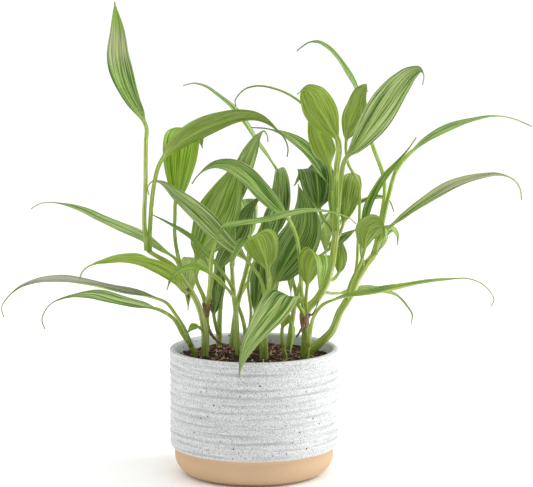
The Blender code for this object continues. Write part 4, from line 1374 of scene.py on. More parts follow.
STEMS = (
    Stem("stem_left_tall",
         Cane([(-49, 115, -5), (-50, 144, -6), (-54, 162, -8), (-68, 189, -12), (-82, 207, -16),
               (-99, 217, -21), (-107, 222, -24)], 3.3, 2.3), [
        # the tall leaf at the upper left
        Leaf([(-107, 222, -24), (-109.5, 245, -27), (-108.5, 290, -29), (-108, 332, -28)],
             [(-107.5, 344, -26), (-113, 356, -22), (-123, 372, -15), (-132, 392, -6), (-136.6, 412, 3),
              (-137.5, 442, 14), (-139.4, 470, 24)],
             26, (0.5, -0.85, 0.1), widest=0.48, stalk=2.1, tone=0.36, silver=0.3, blush=0.8),
        # the leaf that arches to the right and shows its underside
        Leaf([(-105, 221, -24), (-104, 245, -28), (-100, 287, -30), (-97, 301, -28)],
             [(-94, 309, -26), (-74, 330, -20), (-54, 342, -15), (-34, 350.5, -11), (-14, 355.5, -9),
              (2, 355, -8), (12, 351, -6), (21, 344, -5), (28.5, 336.5, -4), (33, 328, -4), (34, 322, -4),
              (33, 315, -4)], 25, (0, 0.82, 0.57), 9, 0.14, widest=0.36, stalk=2.1, tone=0.22, silver=0.3),
        # the bright upright leaf behind it
        Leaf([(-70, 192, -12), (-74, 208, -4), (-78, 226, 2), (-79.5, 247, 6), (-79, 256, 8)],
             [(-79, 266, 8), (-75.5, 284, 8), (-74, 302, 9), (-72, 320, 12), (-70, 335, 20), (-66, 342, 36),
              (-61, 342, 54), (-55, 335, 70), (-51.5, 324, 80)],
             38, (-0.3, -0.95, 0), widest=0.45, stalk=1.8, tone=1.0, silver=0.05),
        # the front leaf, low at the left
        Leaf([(-65, 178, -11), (-67, 179, -16)],
             [(-70, 181, -20), (-77, 187, -26), (-88, 194, -35), (-101, 201, -46), (-116, 207.5, -58),
              (-131, 210, -68), (-148, 209, -78), (-158, 208, -83), (-166, 205, -87), (-172, 199, -90),
              (-174, 193, -91)], 28, (0, -0.06, 1), 38, 0.1, widest=0.38, stalk=1.8, tone=0.85, silver=0.15),
        # the long leaf above it
        Leaf([(-72, 196, -13), (-75, 206, -9)],
             [(-77, 211, -7), (-94, 222.5, -3), (-114, 235, 4), (-134, 244, 14), (-154, 252.5, 26),
              (-171, 261, 36), (-190, 267.5, 46), (-207, 269.5, 54), (-216, 267.5, 58), (-223, 263, 60)],
             19, EDGE_ON, 14, 0.12, widest=0.42, tone=0.45, silver=0.6),
        # the small sheath leaf near the soil
        Leaf([(-50, 141, -6), (-53, 144, -10)], [(-54, 144.5, -12), (-60, 145, -18), (-67, 139, -24)],
             10, (0, -0.5, 0.8), tone=0.9, silver=0.0),
    ], [
        # the dried end of an old petiole
        Root([(-66, 186, -11), (-66, 179, -16), (-65, 172, -19)], 1.6, 0.9),
    ]),
    Stem("stem_left_low",
         Cane([(-59, 115, -4), (-62, 124, -6), (-66, 133, -8)], 2.9, 2.0), [
        Leaf([(-63, 126, -7), (-68, 140, -12), (-80, 160, -22)],
             [(-87, 169, -28), (-104, 175, -39), (-134, 180, -54), (-164, 187, -68), (-194, 191, -80),
              (-218, 190, -88), (-235, 184, -92), (-246, 175, -94), (-252.5, 163, -95), (-250, 155, -95)],
             27, (0, -0.16, 0.98), 14, 0.1, widest=0.42, stalk=1.9, tone=0.34, silver=0.9, blush=1.6),
        Leaf([(-65, 130, -8), (-70, 136, -9), (-81, 154, -10)],
             [(-94, 162, -8), (-114, 165.5, 0), (-139, 170, 12), (-164, 176, 24), (-179, 175.5, 32),
              (-192, 173, 38), (-202, 169, 42), (-209, 161, 45), (-212, 152, 46), (-209, 143, 46)],
             26, EDGE_ON, 14, 0.18, widest=0.42, stalk=1.9, tone=0.45, silver=0.5),
    ]),
    Stem("stem_curl",
         Cane([(-48, 121, 20), (-47.5, 144, 13), (-47, 165, 4), (-45, 174, -3)], 3.2, 2.4), [
        # the long leaf that curls across the front
        Leaf([(-45.5, 172, -2), (-44, 187, -14), (-43, 210, -28)],
             [(-41, 222, -38), (-37, 235, -47), (-32, 243, -52), (-14, 247, -58), (8, 250.5, -62),
              (31, 256, -62), (51, 260, -60), (71, 260.5, -56), (86, 257.5, -52), (96, 253.5, -50),
              (102, 248, -50)], 16, (0, -0.25, 0.97), widest=0.4, stalk=2.3, tone=0.45, silver=0.35),
        # the broadest leaf
        Leaf([(-47, 160, 6), (-50, 174, 7), (-57, 190, 7)],
             [(-59, 210, 6), (-53, 222, 6), (-43, 240, 6), (-33, 262, 6), (-23.5, 286, 7), (-16, 304, 8),
              (-10, 314, 9)], 44, (-0.2, -0.95, 0.2), 11, widest=0.42, stalk=1.9, tone=0.84, silver=0.45),
        # the dark leaf behind it
        Leaf([(-47.3, 156, 8), (-45, 172, 16), (-42, 188, 20)],
             [(-40, 197, 20), (-26, 222, 22), (-14, 242, 24), (-9, 256, 24), (-1, 268, 24), (10, 279, 24)],
             20, (0.2, -0.9, 0.3), widest=0.42, tone=0.1, silver=0.7),
    ], [
        Root([(-47.5, 149, 11), (-42, 137, 17), (-33, 129, 25), (-27, 126.5, 28)], 1.9, 1.2),
    ], [
        Sheath(0.62, 0.86, 2.2),
    ]),
    Stem("stem_front_arch",
         Cane([(-7, 115, -12), (-8, 122, -13), (-8.5, 130, -15)], 2.5, 1.9), [
        Leaf([(-8, 126, -14), (-9, 142, -18), (-15, 164, -28)],
             [(-21, 176, -36), (-34, 189, -48), (-48, 200, -58), (-62, 203.5, -66), (-74, 200, -72),
              (-83, 192, -76), (-87, 182, -78)], 20, EDGE_ON, widest=0.42, stalk=1.9, tone=0.75, silver=0.25),
        # the streaked leaf behind
        Leaf([(-8, 124, -13), (-3, 157, -6), (-5.5, 193, 3), (0, 210, 8)],
             [(8, 222, 10), (13, 238, 12), (18, 255, 12), (22, 270, 12), (25, 286, 12)],
             17, (-0.2, -0.95, 0.1), widest=0.45, tone=0.3, silver=0.9),
    ]),
    Stem("stem_streak",
         Cane([(10, 112, -21), (10, 126, -22), (10, 141, -24), (11, 160, -28)], 4.2, 2.2), [
        # the long streaked leaf that leans to the left
        Leaf([(11, 158, -27.5), (10, 177, -29), (8, 189, -29)],
             [(-4, 208, -28), (-29, 232, -28), (-54, 257, -28), (-76, 276, -26), (-94, 290, -19),
              (-101, 291, -15), (-106, 285, -14), (-105, 277, -14)],
             20, (-0.2, -0.7, 0.6), 14, 0.1, widest=0.44, tone=0.25, silver=1.0),
        # the hooded leaf
        Leaf([(11, 159, -28), (14, 172, -34), (15, 186, -40)],
             [(14, 200, -46), (8, 222, -56), (1, 234, -68), (-9, 229, -80), (-17, 218, -86), (-23, 204, -88)],
             36, (0.1, 0.88, 0.47), widest=0.42, stalk=2.2, tone=0.42, silver=0.25),
    ]),
    Stem("stem_small_front",
         Cane([(31, 111, -20), (30, 120, -22), (29, 132, -25)], 2.2, 1.6), [
        Leaf([(29.5, 126, -23), (28, 136, -28)],
             [(28, 142, -32), (30, 152, -39), (34, 155, -48), (37.5, 148, -56), (38, 134, -60),
              (36, 118, -61)], 15, (0, 0.8, 0.6), widest=0.42, tone=0.85, silver=0.1),
    ]),
    Stem("stem_right_tall",
         Cane([(51, 115, -3), (52, 139, -5), (51, 157, -8), (54.5, 164, -8), (63, 173, -8), (72, 188, -6),
               (77, 204, -4), (81, 232, 0), (82, 246, 0)], 4.2, 3.2), [
        # the leaf that leans to the left over the middle
        Leaf([(51, 158, -8), (48, 174, -16), (46, 210, -24), (42, 236, -28)],
             [(35, 252, -30), (19, 268, -32), (4, 283, -34), (-8, 295.5, -34), (-22, 305, -34),
              (-39, 307, -34), (-51, 301, -34), (-58, 294, -34), (-62, 288, -34)],
             22, (0, -0.62, 0.75), 14, 0.08, widest=0.42, stalk=2.0, tone=0.38, silver=0.3),
        # the leaf that droops over the rim
        Leaf([(51, 156, -8), (48, 161, -18)],
             [(45, 166, -27), (38, 174, -42), (31, 176, -55), (22, 164, -70), (9, 147, -82), (-5, 126, -92),
              (-12, 110, -98), (-15, 94, -102)],
             34, (-0.2, -0.75, 0.6), 10, widest=0.36, stalk=1.9, tone=0.46, silver=0.85),
        # the folded leaf beside the cane
        Leaf([(51.5, 160, -8), (52, 174, -18)],
             [(53, 184, -22), (55, 200, -28), (59, 213, -36), (64, 217, -46), (67.5, 208, -54),
              (67, 195, -57), (65, 181, -58)], 28, (0, 0.85, 0.5), widest=0.46, tone=0.8, silver=0.3),
        # the long arching leaf with a thin tip, behind
        Leaf([(82, 240, 0), (80, 262, 9), (78, 278, 13)],
             [(75, 286, 14), (67, 301, 18), (57, 316, 22), (45, 328, 24), (31, 337, 24), (14, 343, 22),
              (-3, 344.5, 20)], 18, (0.2, -0.5, 0.8), 14, 0.15, widest=0.4, tone=0.35, silver=0.4),
        # the bright leaf that shows its underside
        Leaf([(82, 243, 0), (82, 275, -5), (83, 307, -8), (85, 322, -10)],
             [(84, 331, -12), (75, 346, -15), (66, 362, -17), (58, 376, -20), (51, 382.5, -27),
              (43.5, 378, -36)],
             33, (0.1, 0.97, -0.1), 11, 0.05, widest=0.5, stalk=3.0, tone=0.7, silver=0.1),
        # the big streaked leaf at the upper right
        Leaf([(82, 244, 0), (84.5, 268, 2), (87, 291, 0)],
             [(90.5, 311, -4), (104, 327.5, -12), (122, 352.5, -25), (135, 371.5, -34), (147, 388, -44),
              (158, 399, -52), (167, 402.5, -60), (170, 396, -67), (168.5, 387, -71)],
             31, (-0.25, -0.9, 0.25), 12, 0.07, widest=0.5, stalk=2.3, tone=0.5, silver=0.95),
        # the leaf behind them, with a hair-thin tail
        Leaf([(82, 242, 0), (76, 272, 8), (77, 287, 7)],
             [(76, 302, 6), (71, 320, 6), (64, 338, 8), (58, 356, 12), (49, 367.5, 16), (36, 377, 20),
              (22, 383, 22), (2, 386, 22), (-8, 383.5, 22), (-15.5, 377, 20), (-19, 371, 18), (-18, 366, 16)],
             24, (0, 0.95, -0.2), 12, 0.52, stalk=1.8, tone=0.8, silver=0.3),
        # the dark striped leaf
        Leaf([(81.5, 236, 0), (75, 246, 8), (69, 254, 12)],
             [(66, 260, 14), (64, 282, 14), (61, 300, 19), (57, 304, 28), (49, 297, 36), (40, 286, 40)],
             35, (0.1, -0.95, 0.2), widest=0.45, tone=0.05, silver=0.2),
        # three leaves behind the cane
        Leaf([(74, 193, -5), (80, 193, 6)], [(84, 198, 12), (87, 214, 16), (88, 232, 18)],
             13, (0, 0.9, 0.2), widest=0.45, tone=0.4, silver=0.5),
        Leaf([(81, 230, 0), (86, 239, 14)],
             [(89, 247, 22), (92, 262, 25), (95, 281, 28), (98, 294, 34), (100, 299, 44), (101, 292, 54)],
             24, (0.1, 0.9, -0.2), widest=0.48, tone=0.4, silver=0.5),
        Leaf([(82, 238, 0), (84, 246, 18), (90, 255, 32)],
             [(99, 265, 37), (115, 272.5, 40), (126, 274.5, 41), (135, 271, 41), (140, 260, 41)],
             10, (0, -0.3, 0.9), tone=0.2, silver=0.3),
        # the low leaf that passes behind the second cane
        Leaf([(68, 181, -6), (72, 180, 6), (77, 179, 17)],
             [(84, 179, 25), (96, 179.5, 34), (116, 181, 46), (131, 179.5, 54), (143, 176, 60),
              (152, 166.5, 64), (158, 157, 66), (157, 148, 66)],
             20, EDGE_ON, widest=0.4, tone=0.5, silver=0.4),
    ], [
        Root([(51, 152, -8), (48, 144, -13), (42, 134, -17)], 1.8, 0.9),
        Root([(55, 160, -8), (57, 157, -12), (62, 164, -14), (65, 173, -13)], 0.8, 0.6),
    ], [
        Sheath(0.20, 0.31, 1.6),
    ]),
    Stem("stem_right_spread",
         Cane([(57, 119, 13), (66, 129, 13), (78, 141, 12), (86, 160, 10), (98, 179, 8), (104, 193, 6),
               (114, 210, 2), (121, 218, 0)], 4.1, 3.2), [
        # the highest arching leaf
        Leaf([(120, 217, 0), (126, 247, 10), (130.5, 290, 22), (118, 329, 34)],
             [(109, 364, 42), (103, 380, 44), (93, 399, 44), (83, 414, 42), (73, 424.5, 38), (63.5, 430, 34),
              (55, 429.5, 31), (49, 426, 29), (43, 421, 27)],
             14, (0.7, -0.3, 0.5), 14, 0.1, widest=0.42, stalk=2.2, tone=0.45, silver=0.35),
        # the upright leaf between the two bright ones
        Leaf([(98, 179, 8), (103, 210, 14), (104, 232, 16), (105.5, 262, 16), (104, 290, 14), (94, 309, 12)],
             [(92, 329, 10), (95, 347, 9), (100, 362, 8), (106, 379, 6), (112, 386, 0), (113, 380, -5)],
             27, (0.6, 0.75, 0), 14, 0.06, widest=0.46, tone=0.6, silver=0.6),
        # the folded leaf at the top of the cane
        Leaf([(120, 216, 1), (123, 225, 3)],
             [(126, 231, 5), (131, 239, 8), (138, 242, 10), (143, 236, 10), (143.5, 227, 9)],
             17, (0, -0.3, 0.9), tone=0.75, silver=0.5),
        # the small leaf beside it, which shows its underside
        Leaf([(92, 170, 9), (97, 190, -4), (106, 208, -13)],
             [(110, 220, -18), (111.5, 233, -24), (117, 244, -31), (126, 246.5, -38), (130, 237, -43),
              (124, 220, -46)], 29, (-0.3, 0.85, 0.4), widest=0.5, tone=0.5, silver=0.6),
        # the long arching leaf at the far right
        Leaf([(119, 215, 0), (128, 248, 6), (135, 278, 9), (143, 303, 9)],
             [(155, 318, 13), (165, 326, 17), (181, 336.5, 24), (201, 345.5, 33), (221, 352, 42),
              (237, 355.5, 49), (249, 355.5, 54), (263, 352, 59), (278, 345.5, 63)],
             15, (-0.3, -0.34, 0.88), 14, 0.2, widest=0.4, stalk=2.2, tone=0.5, silver=0.3),
        # the narrow leaf beside its petiole
        Leaf([(110, 204, 3), (107, 224, -6)],
             [(108.5, 238, -9), (112, 254, -11), (120, 276, -13), (130, 293, -13), (141, 306, -12),
              (150, 317, -11), (162.5, 334.5, -9)], 14, (-0.5, -0.4, 0.5), widest=0.3, tone=0.6, silver=0.2),
        # the leaf that arches out below it, dusky at its edge
        Leaf([(121, 218, 0), (126, 231, 0)],
             [(133, 242, -2), (153, 257, -12), (167, 267, -19), (185, 278.5, -29), (201, 286.5, -38),
              (217, 292.5, -45), (231, 296, -50), (243, 297.5, -54), (252, 296, -56), (261, 291, -58),
              (266, 283, -59), (267.4, 272, -60)],
             19, (-0.1, -0.52, 0.84), 14, 0.12, widest=0.4, stalk=2.2, tone=0.46, silver=0.9, blush=1.2),
    ]),
    Stem("stem_right_low",
         Cane([(52, 110, -18), (53, 120, -20), (55, 132, -22)], 2.4, 1.8), [
        Leaf([(54, 126, -21), (56, 140, -23), (60, 156, -26)],
             [(68, 167, -30), (81, 172.5, -38), (96, 176, -46), (116, 178, -56), (138, 182, -66),
              (166, 188.5, -76), (191, 192, -84), (216, 193, -90), (228, 188, -92), (237, 179, -93),
              (240, 172, -94), (237, 165.5, -94)],
             23, (0, -0.13, 0.98), 14, 0.22, widest=0.42, stalk=1.9, tone=0.7, silver=0.3),
    ]),
    Stem("stem_centre_left",
         Cane([(-16, 114, -8), (-17, 135, -6), (-18, 157, -5), (-21, 187, -3), (-22, 208, 0)], 2.9, 2.0), [
        # the narrow leaf that leans to the far left
        Leaf([(-20.5, 182, -3), (-24, 189, -8)],
             [(-31, 199, -14), (-44, 213, -17), (-62, 232, -17), (-78.5, 244, -14), (-91, 251.5, -13),
              (-103, 258, -13)], 15, (0, -0.1, 1), widest=0.42, tone=0.5, silver=0.2),
        Leaf([(-22, 206, 0), (-20, 240, 8)],
             [(-18, 262, 12), (-14, 285, 12), (-9, 304, 12), (-2, 322, 11), (5, 336, 9), (10, 341, 5),
              (13.5, 336, 1), (14, 330, -1)],
             22, (-0.5, -0.85, 0), 14, 0.12, widest=0.44, stalk=1.8, tone=0.62, silver=1.0),
    ]),
    Stem("stem_centre_mid",
         Cane([(4, 121, 25), (6, 150, 22), (12, 175, 16)], 2.8, 2.0), [
        Leaf([(11.5, 172, 16), (16, 181, 11)],
             [(19, 187, 8), (36, 217, -2), (49, 242, -6), (51, 262, -8), (44, 288, -12)],
             42, (0.1, -0.97, 0.1), 11, widest=0.42, stalk=2.1, tone=0.4, silver=0.3),
        Leaf([(11, 170, 17), (16, 198, 24), (19, 215, 26)],
             [(22, 235, 26), (25, 254, 24), (27, 275, 22), (27.5, 292, 22), (26.5, 301, 27), (25, 303, 35),
              (24, 297, 42)], 20, (-0.1, -0.95, 0.1), widest=0.45, tone=0.5, silver=0.6),
        # the leaf that shows between the stems, painted dark as shade
        Leaf([(5, 140, 23.5), (2, 150, 31)],
             [(1, 158, 35), (4, 180, 40), (6, 200, 43), (9, 218, 44), (11, 232, 44)],
             18, (0, -0.95, 0.1), widest=0.45, tone=0.08, silver=0.2),
    ]),
    Stem("stem_back_long",
         Cane([(-22, 121, 36), (-18, 160, 42), (-8, 200, 48), (3, 236, 52)], 2.8, 2.0), [
        Leaf([(2, 233, 52), (18, 268, 54), (29, 288, 53)],
             [(22, 304, 55), (6, 325, 58), (-11, 350, 61), (-24, 366, 63), (-37, 377, 65), (-48, 385, 66),
              (-61, 388.5, 67), (-71, 386.5, 67)], 16, (0.6, -0.2, 0.75), widest=0.42, tone=0.4, silver=0.5),
        Leaf([(-8, 200, 48), (-6, 214, 58)],
             [(-5, 228, 68), (-8, 252, 90), (-12, 268, 116), (-15, 272, 144), (-17, 258, 170),
              (-18, 236, 186)], 30, (0, 0.6, 0.8), widest=0.42, tone=0.5, silver=0.6),
        Leaf([(-14, 176, 44), (-6, 190, 54)],
             [(2, 200, 66), (8, 214, 90), (13, 216, 118), (16, 202, 144), (18, 176, 162), (18, 156, 168)],
             27, (0, 0.3, 0.9), widest=0.42, tone=0.4, silver=0.8),
    ]),
    Stem("stem_back_left",
         Cane([(-35, 122, 42), (-34, 160, 47), (-31, 190, 51)], 2.8, 2.0), [
        Leaf([(-31, 188, 51), (-31, 204, 58)],
             [(-32, 218, 68), (-36, 242, 88), (-42, 256, 112), (-47, 256, 140), (-51, 240, 164),
              (-53, 220, 178)], 32, (0, 0.6, 0.8), widest=0.42, tone=0.6, silver=0.5),
        Leaf([(-34, 165, 48), (-38, 182, 56)],
             [(-42, 196, 66), (-50, 210, 88), (-57, 214, 112), (-62, 204, 136), (-65, 180, 152),
              (-66, 162, 158)], 28, (-0.3, 0.4, 0.85), widest=0.42, tone=0.45, silver=0.9),
        # the leaf low between the stems, painted dark as shade
        Leaf([(-34.5, 136, 44), (-38, 146, 40)],
             [(-40, 155, 38), (-38, 176, 36), (-34, 196, 36), (-29, 213, 37)],
             16, (0, -0.95, 0.1), widest=0.45, tone=0.12, silver=0.3),
    ]),
    Stem("stem_back_right",
         Cane([(35, 121, 45), (38, 150, 48), (44, 180, 51), (52, 204, 52)], 2.8, 2.0), [
        Leaf([(50, 199, 52), (52, 214, 60)],
             [(54, 226, 70), (60, 246, 90), (65, 256, 114), (69, 254, 140), (71, 236, 162), (72, 216, 174)],
             32, (0.1, 0.6, 0.8), widest=0.42, tone=0.5, silver=0.7),
        Leaf([(43, 176, 50), (38, 196, 58)],
             [(34, 212, 70), (33, 230, 94), (33, 236, 122), (34, 226, 150), (36, 200, 172), (37, 176, 182)],
             28, (0, 0.5, 0.85), widest=0.42, tone=0.55, silver=0.4),
        # the streaked leaf that passes behind the thick cane
        Leaf([(51, 202, 52), (66, 216, 47)], [(74, 222, 45), (84, 230, 43), (94, 237, 41), (104, 244, 40)],
             13, (-0.4, -0.8, 0.5), tone=0.4, silver=0.9),
    ]),
)


# Pot and soil


@dataclass
class Pot:
    """The pot: one turned piece with a ribbed, glazed wall and a bare, rounded foot.

    lip_edge and foot_edge are the step between the two, as points that stand outward and up
    from the glazed wall's foot and from the bare foot's top.
    """

    height: float = 128.0
    radius: float = 85.0
    inside: float = 79.0
    floor: float = 8.0
    flat_middle: float = 30.0
    inner_round: float = 14.0
    inner_steps: int = 6
    below_rim: float = 12.0
    rim_round: float = 2.5
    rim_steps: int = 5
    ribs: int = 12
    ribs_from: float = 31.5
    rib_pitch: float = 7.6
    rib_depth: float = 0.9
    rib_crest: float = 0.65
    rib_sharpness: float = 1.7
    rib_points: int = 9
    step_top: float = 30.0
    step_bottom: float = 25.0
    lip_edge: tuple[Span, ...] = ((0.0, 0.8), (-0.25, 0.0), (-1.1, -1.2))
    foot_edge: tuple[Span, ...] = ((0.5, 0.9), (0.0, 0.0))
    foot_radius: float = 80.0
    foot_round: float = 20.0
    foot_steps: int = 12
    segments: int = 160
    merge: float = 0.01
    wear: float = 0.45
    wear_around: float = 4.5
    wear_up: float = 0.14
    wear_bias: float = 0.25
    fine_wear: float = 0.12
    fine_around: float = 22.0
    fine_up: float = 0.35
    wall_margin: float = 1.0
    glaze_overhang: float = 1.0
    outward: float = 0.01
    downward: float = -0.5

    def arc(self, x: float, z: float, radius: float, start: float, end: float, steps: int) -> list[Span]:
        """Points on an arc of the profile; angles in degrees, 0 outward and 90 up."""
        angles = [math.radians(start + (end - start) * step / steps) for step in range(steps + 1)]
        return [(x + radius * math.cos(angle), z + radius * math.sin(angle)) for angle in angles]

    def hollow(self, turn: float) -> float:
        """How deep in its groove a place on a rib is, from 0 on the crest to 1."""
        rise = turn / self.rib_crest if turn < self.rib_crest else (1 - turn) / (1 - self.rib_crest)
        return 0.5 + 0.5 * math.cos(math.pi * rise)

    def wall(self) -> list[Span]:
        """The ribbed wall from the top rib down: each rib is a soft, uneven saw tooth."""
        points = []
        for number in reversed(range(self.ribs * self.rib_points)):
            rib, step = divmod(number, self.rib_points)
            turn = step / self.rib_points
            depth = self.rib_depth * self.hollow(turn) ** self.rib_sharpness
            points.append((self.radius - depth, self.ribs_from + self.rib_pitch * (rib + turn)))
        return points

    def profile(self) -> list[Span]:
        """The turned outline as (radius, height), from the floor's middle over the rim to the foot."""
        inner, rim, foot = self.inner_round, self.rim_round, self.foot_round
        points = [(0.0, self.floor), (self.flat_middle, self.floor)]
        points += self.arc(self.inside - inner, self.floor + inner, inner, -90, 0, self.inner_steps)
        points += [(self.inside, self.height / 2), (self.inside, self.height - self.below_rim)]
        points += self.arc(self.inside + rim, self.height - rim, rim, 180, 90, self.rim_steps)
        points += self.arc(self.radius - rim, self.height - rim, rim, 90, 0, self.rim_steps)[1:]
        points += self.wall()
        lip = self.radius - self.rib_depth
        points += [(lip + out, self.step_top + up) for out, up in self.lip_edge]
        points += [(self.foot_radius + out, self.step_bottom + up) for out, up in self.foot_edge]
        points += self.arc(self.foot_radius - foot, foot, foot, 0, -90, self.foot_steps)
        return points + [(self.flat_middle, 0.0), (0.0, 0.0)]

    def turned(self) -> bpy.types.Object:
        """Extrudes the outline from one point, spins it round and closes the seam."""
        deselect()
        points = self.profile()
        bpy.ops.mesh.primitive_plane_add(size=MM)
        piece = bpy.context.object
        edit(piece)
        bpy.ops.mesh.merge(type="CENTER")
        bpy.ops.transform.translate(value=(points[0][0] * MM, 0, points[0][1] * MM))
        for (r0, z0), (r1, z1) in zip(points, points[1:]):
            move = {"value": ((r1 - r0) * MM, 0, (z1 - z0) * MM)}
            bpy.ops.mesh.extrude_vertices_move(TRANSFORM_OT_translate=move)
        bpy.ops.mesh.select_all(action="SELECT")
        bpy.ops.mesh.spin(steps=self.segments, angle=2 * math.pi, center=(0, 0, 0), axis=(0, 0, 1))
        bpy.ops.mesh.select_all(action="SELECT")
        bpy.ops.mesh.remove_doubles(threshold=self.merge * MM)
        bpy.ops.mesh.normals_make_consistent(inside=False)
        leave_edit()
        return piece

    def groove(self, z: float) -> float:
        """How deep in a groove a height on the wall is, from 0 on a crest to 1."""
        turn = (z - self.ribs_from) / self.rib_pitch
        return self.hollow(turn % 1) if 0 < turn < self.ribs else 0.0

    def rough(self, angle: float, z: float, around: float, up: float) -> float:
        """Noise at a place on the wall, as fine around it and up it as the last two say."""
        return noise.noise(Vector((math.cos(angle) * around, math.sin(angle) * around, z * up)))

    def wear_ribs(self, piece: bpy.types.Object) -> None:
        """Makes the ribs as uneven as hand-thrown ones, and marks their grooves for the glaze's painted shade
        and its inner wall for the glaze's painted inner light.
        """
        marks = piece.data.attributes.new("groove", "FLOAT_VECTOR", "POINT")
        for mark, point in zip(marks.data, piece.data.vertices):
            x, y, z = point.co / MM
            radius = math.hypot(x, y)
            if radius < self.foot_radius + self.wall_margin or z > self.height - self.rim_round:
                mark.vector = (-1 if radius < self.inside + self.wall_margin else 0, 0, 0)
                continue
            angle = math.atan2(y, x)
            lost = self.wear * max(0.0, self.rough(angle, z, self.wear_around, self.wear_up) + self.wear_bias)
            lost += self.fine_wear * self.rough(angle, z, self.fine_around, self.fine_up)
            scale = (radius - max(0.0, lost)) / radius
            point.co.x *= scale
            point.co.y *= scale
            mark.vector = (self.groove(z), 0, 0)

    def bare(self, face: bpy.types.MeshPolygon) -> bool:
        """Whether a face is bare clay: below the glaze on the outside, or under the foot."""
        if face.center.z >= (self.step_top - self.glaze_overhang) * MM:
            return False
        out = Vector((face.center.x, face.center.y, 0)).normalized()
        return face.normal.dot(out) > self.outward or face.normal.z < self.downward

    def build(self) -> bpy.types.Object:
        """Builds the pot and dresses it in glaze above the step and bare clay below.

        Returns:
            The finished pot.
        """
        piece = joined([self.turned()], "ribbed_pot")
        bpy.ops.object.shade_smooth()
        self.wear_ribs(piece)
        for finish in (GlazeFinish(), ClayFinish()):
            piece.data.materials.append(finish.material())
        for face in piece.data.polygons:
            face.material_index = int(self.bare(face))
        place_piece(piece, ["pot"])
        return piece


@dataclass(frozen=True)
class Litter:
    """Bits of one kind that lie on the soil.

    shape makes one at the origin. variants is how many are made, count how many copies of them
    lie about, and margin how far they stay from the pot's wall.
    """

    name: str
    shape: Callable[[random.Random], bpy.types.Object]
    variants: int
    count: int
    margin: float
    finish: Union[BarkFinish, PearlFinish]


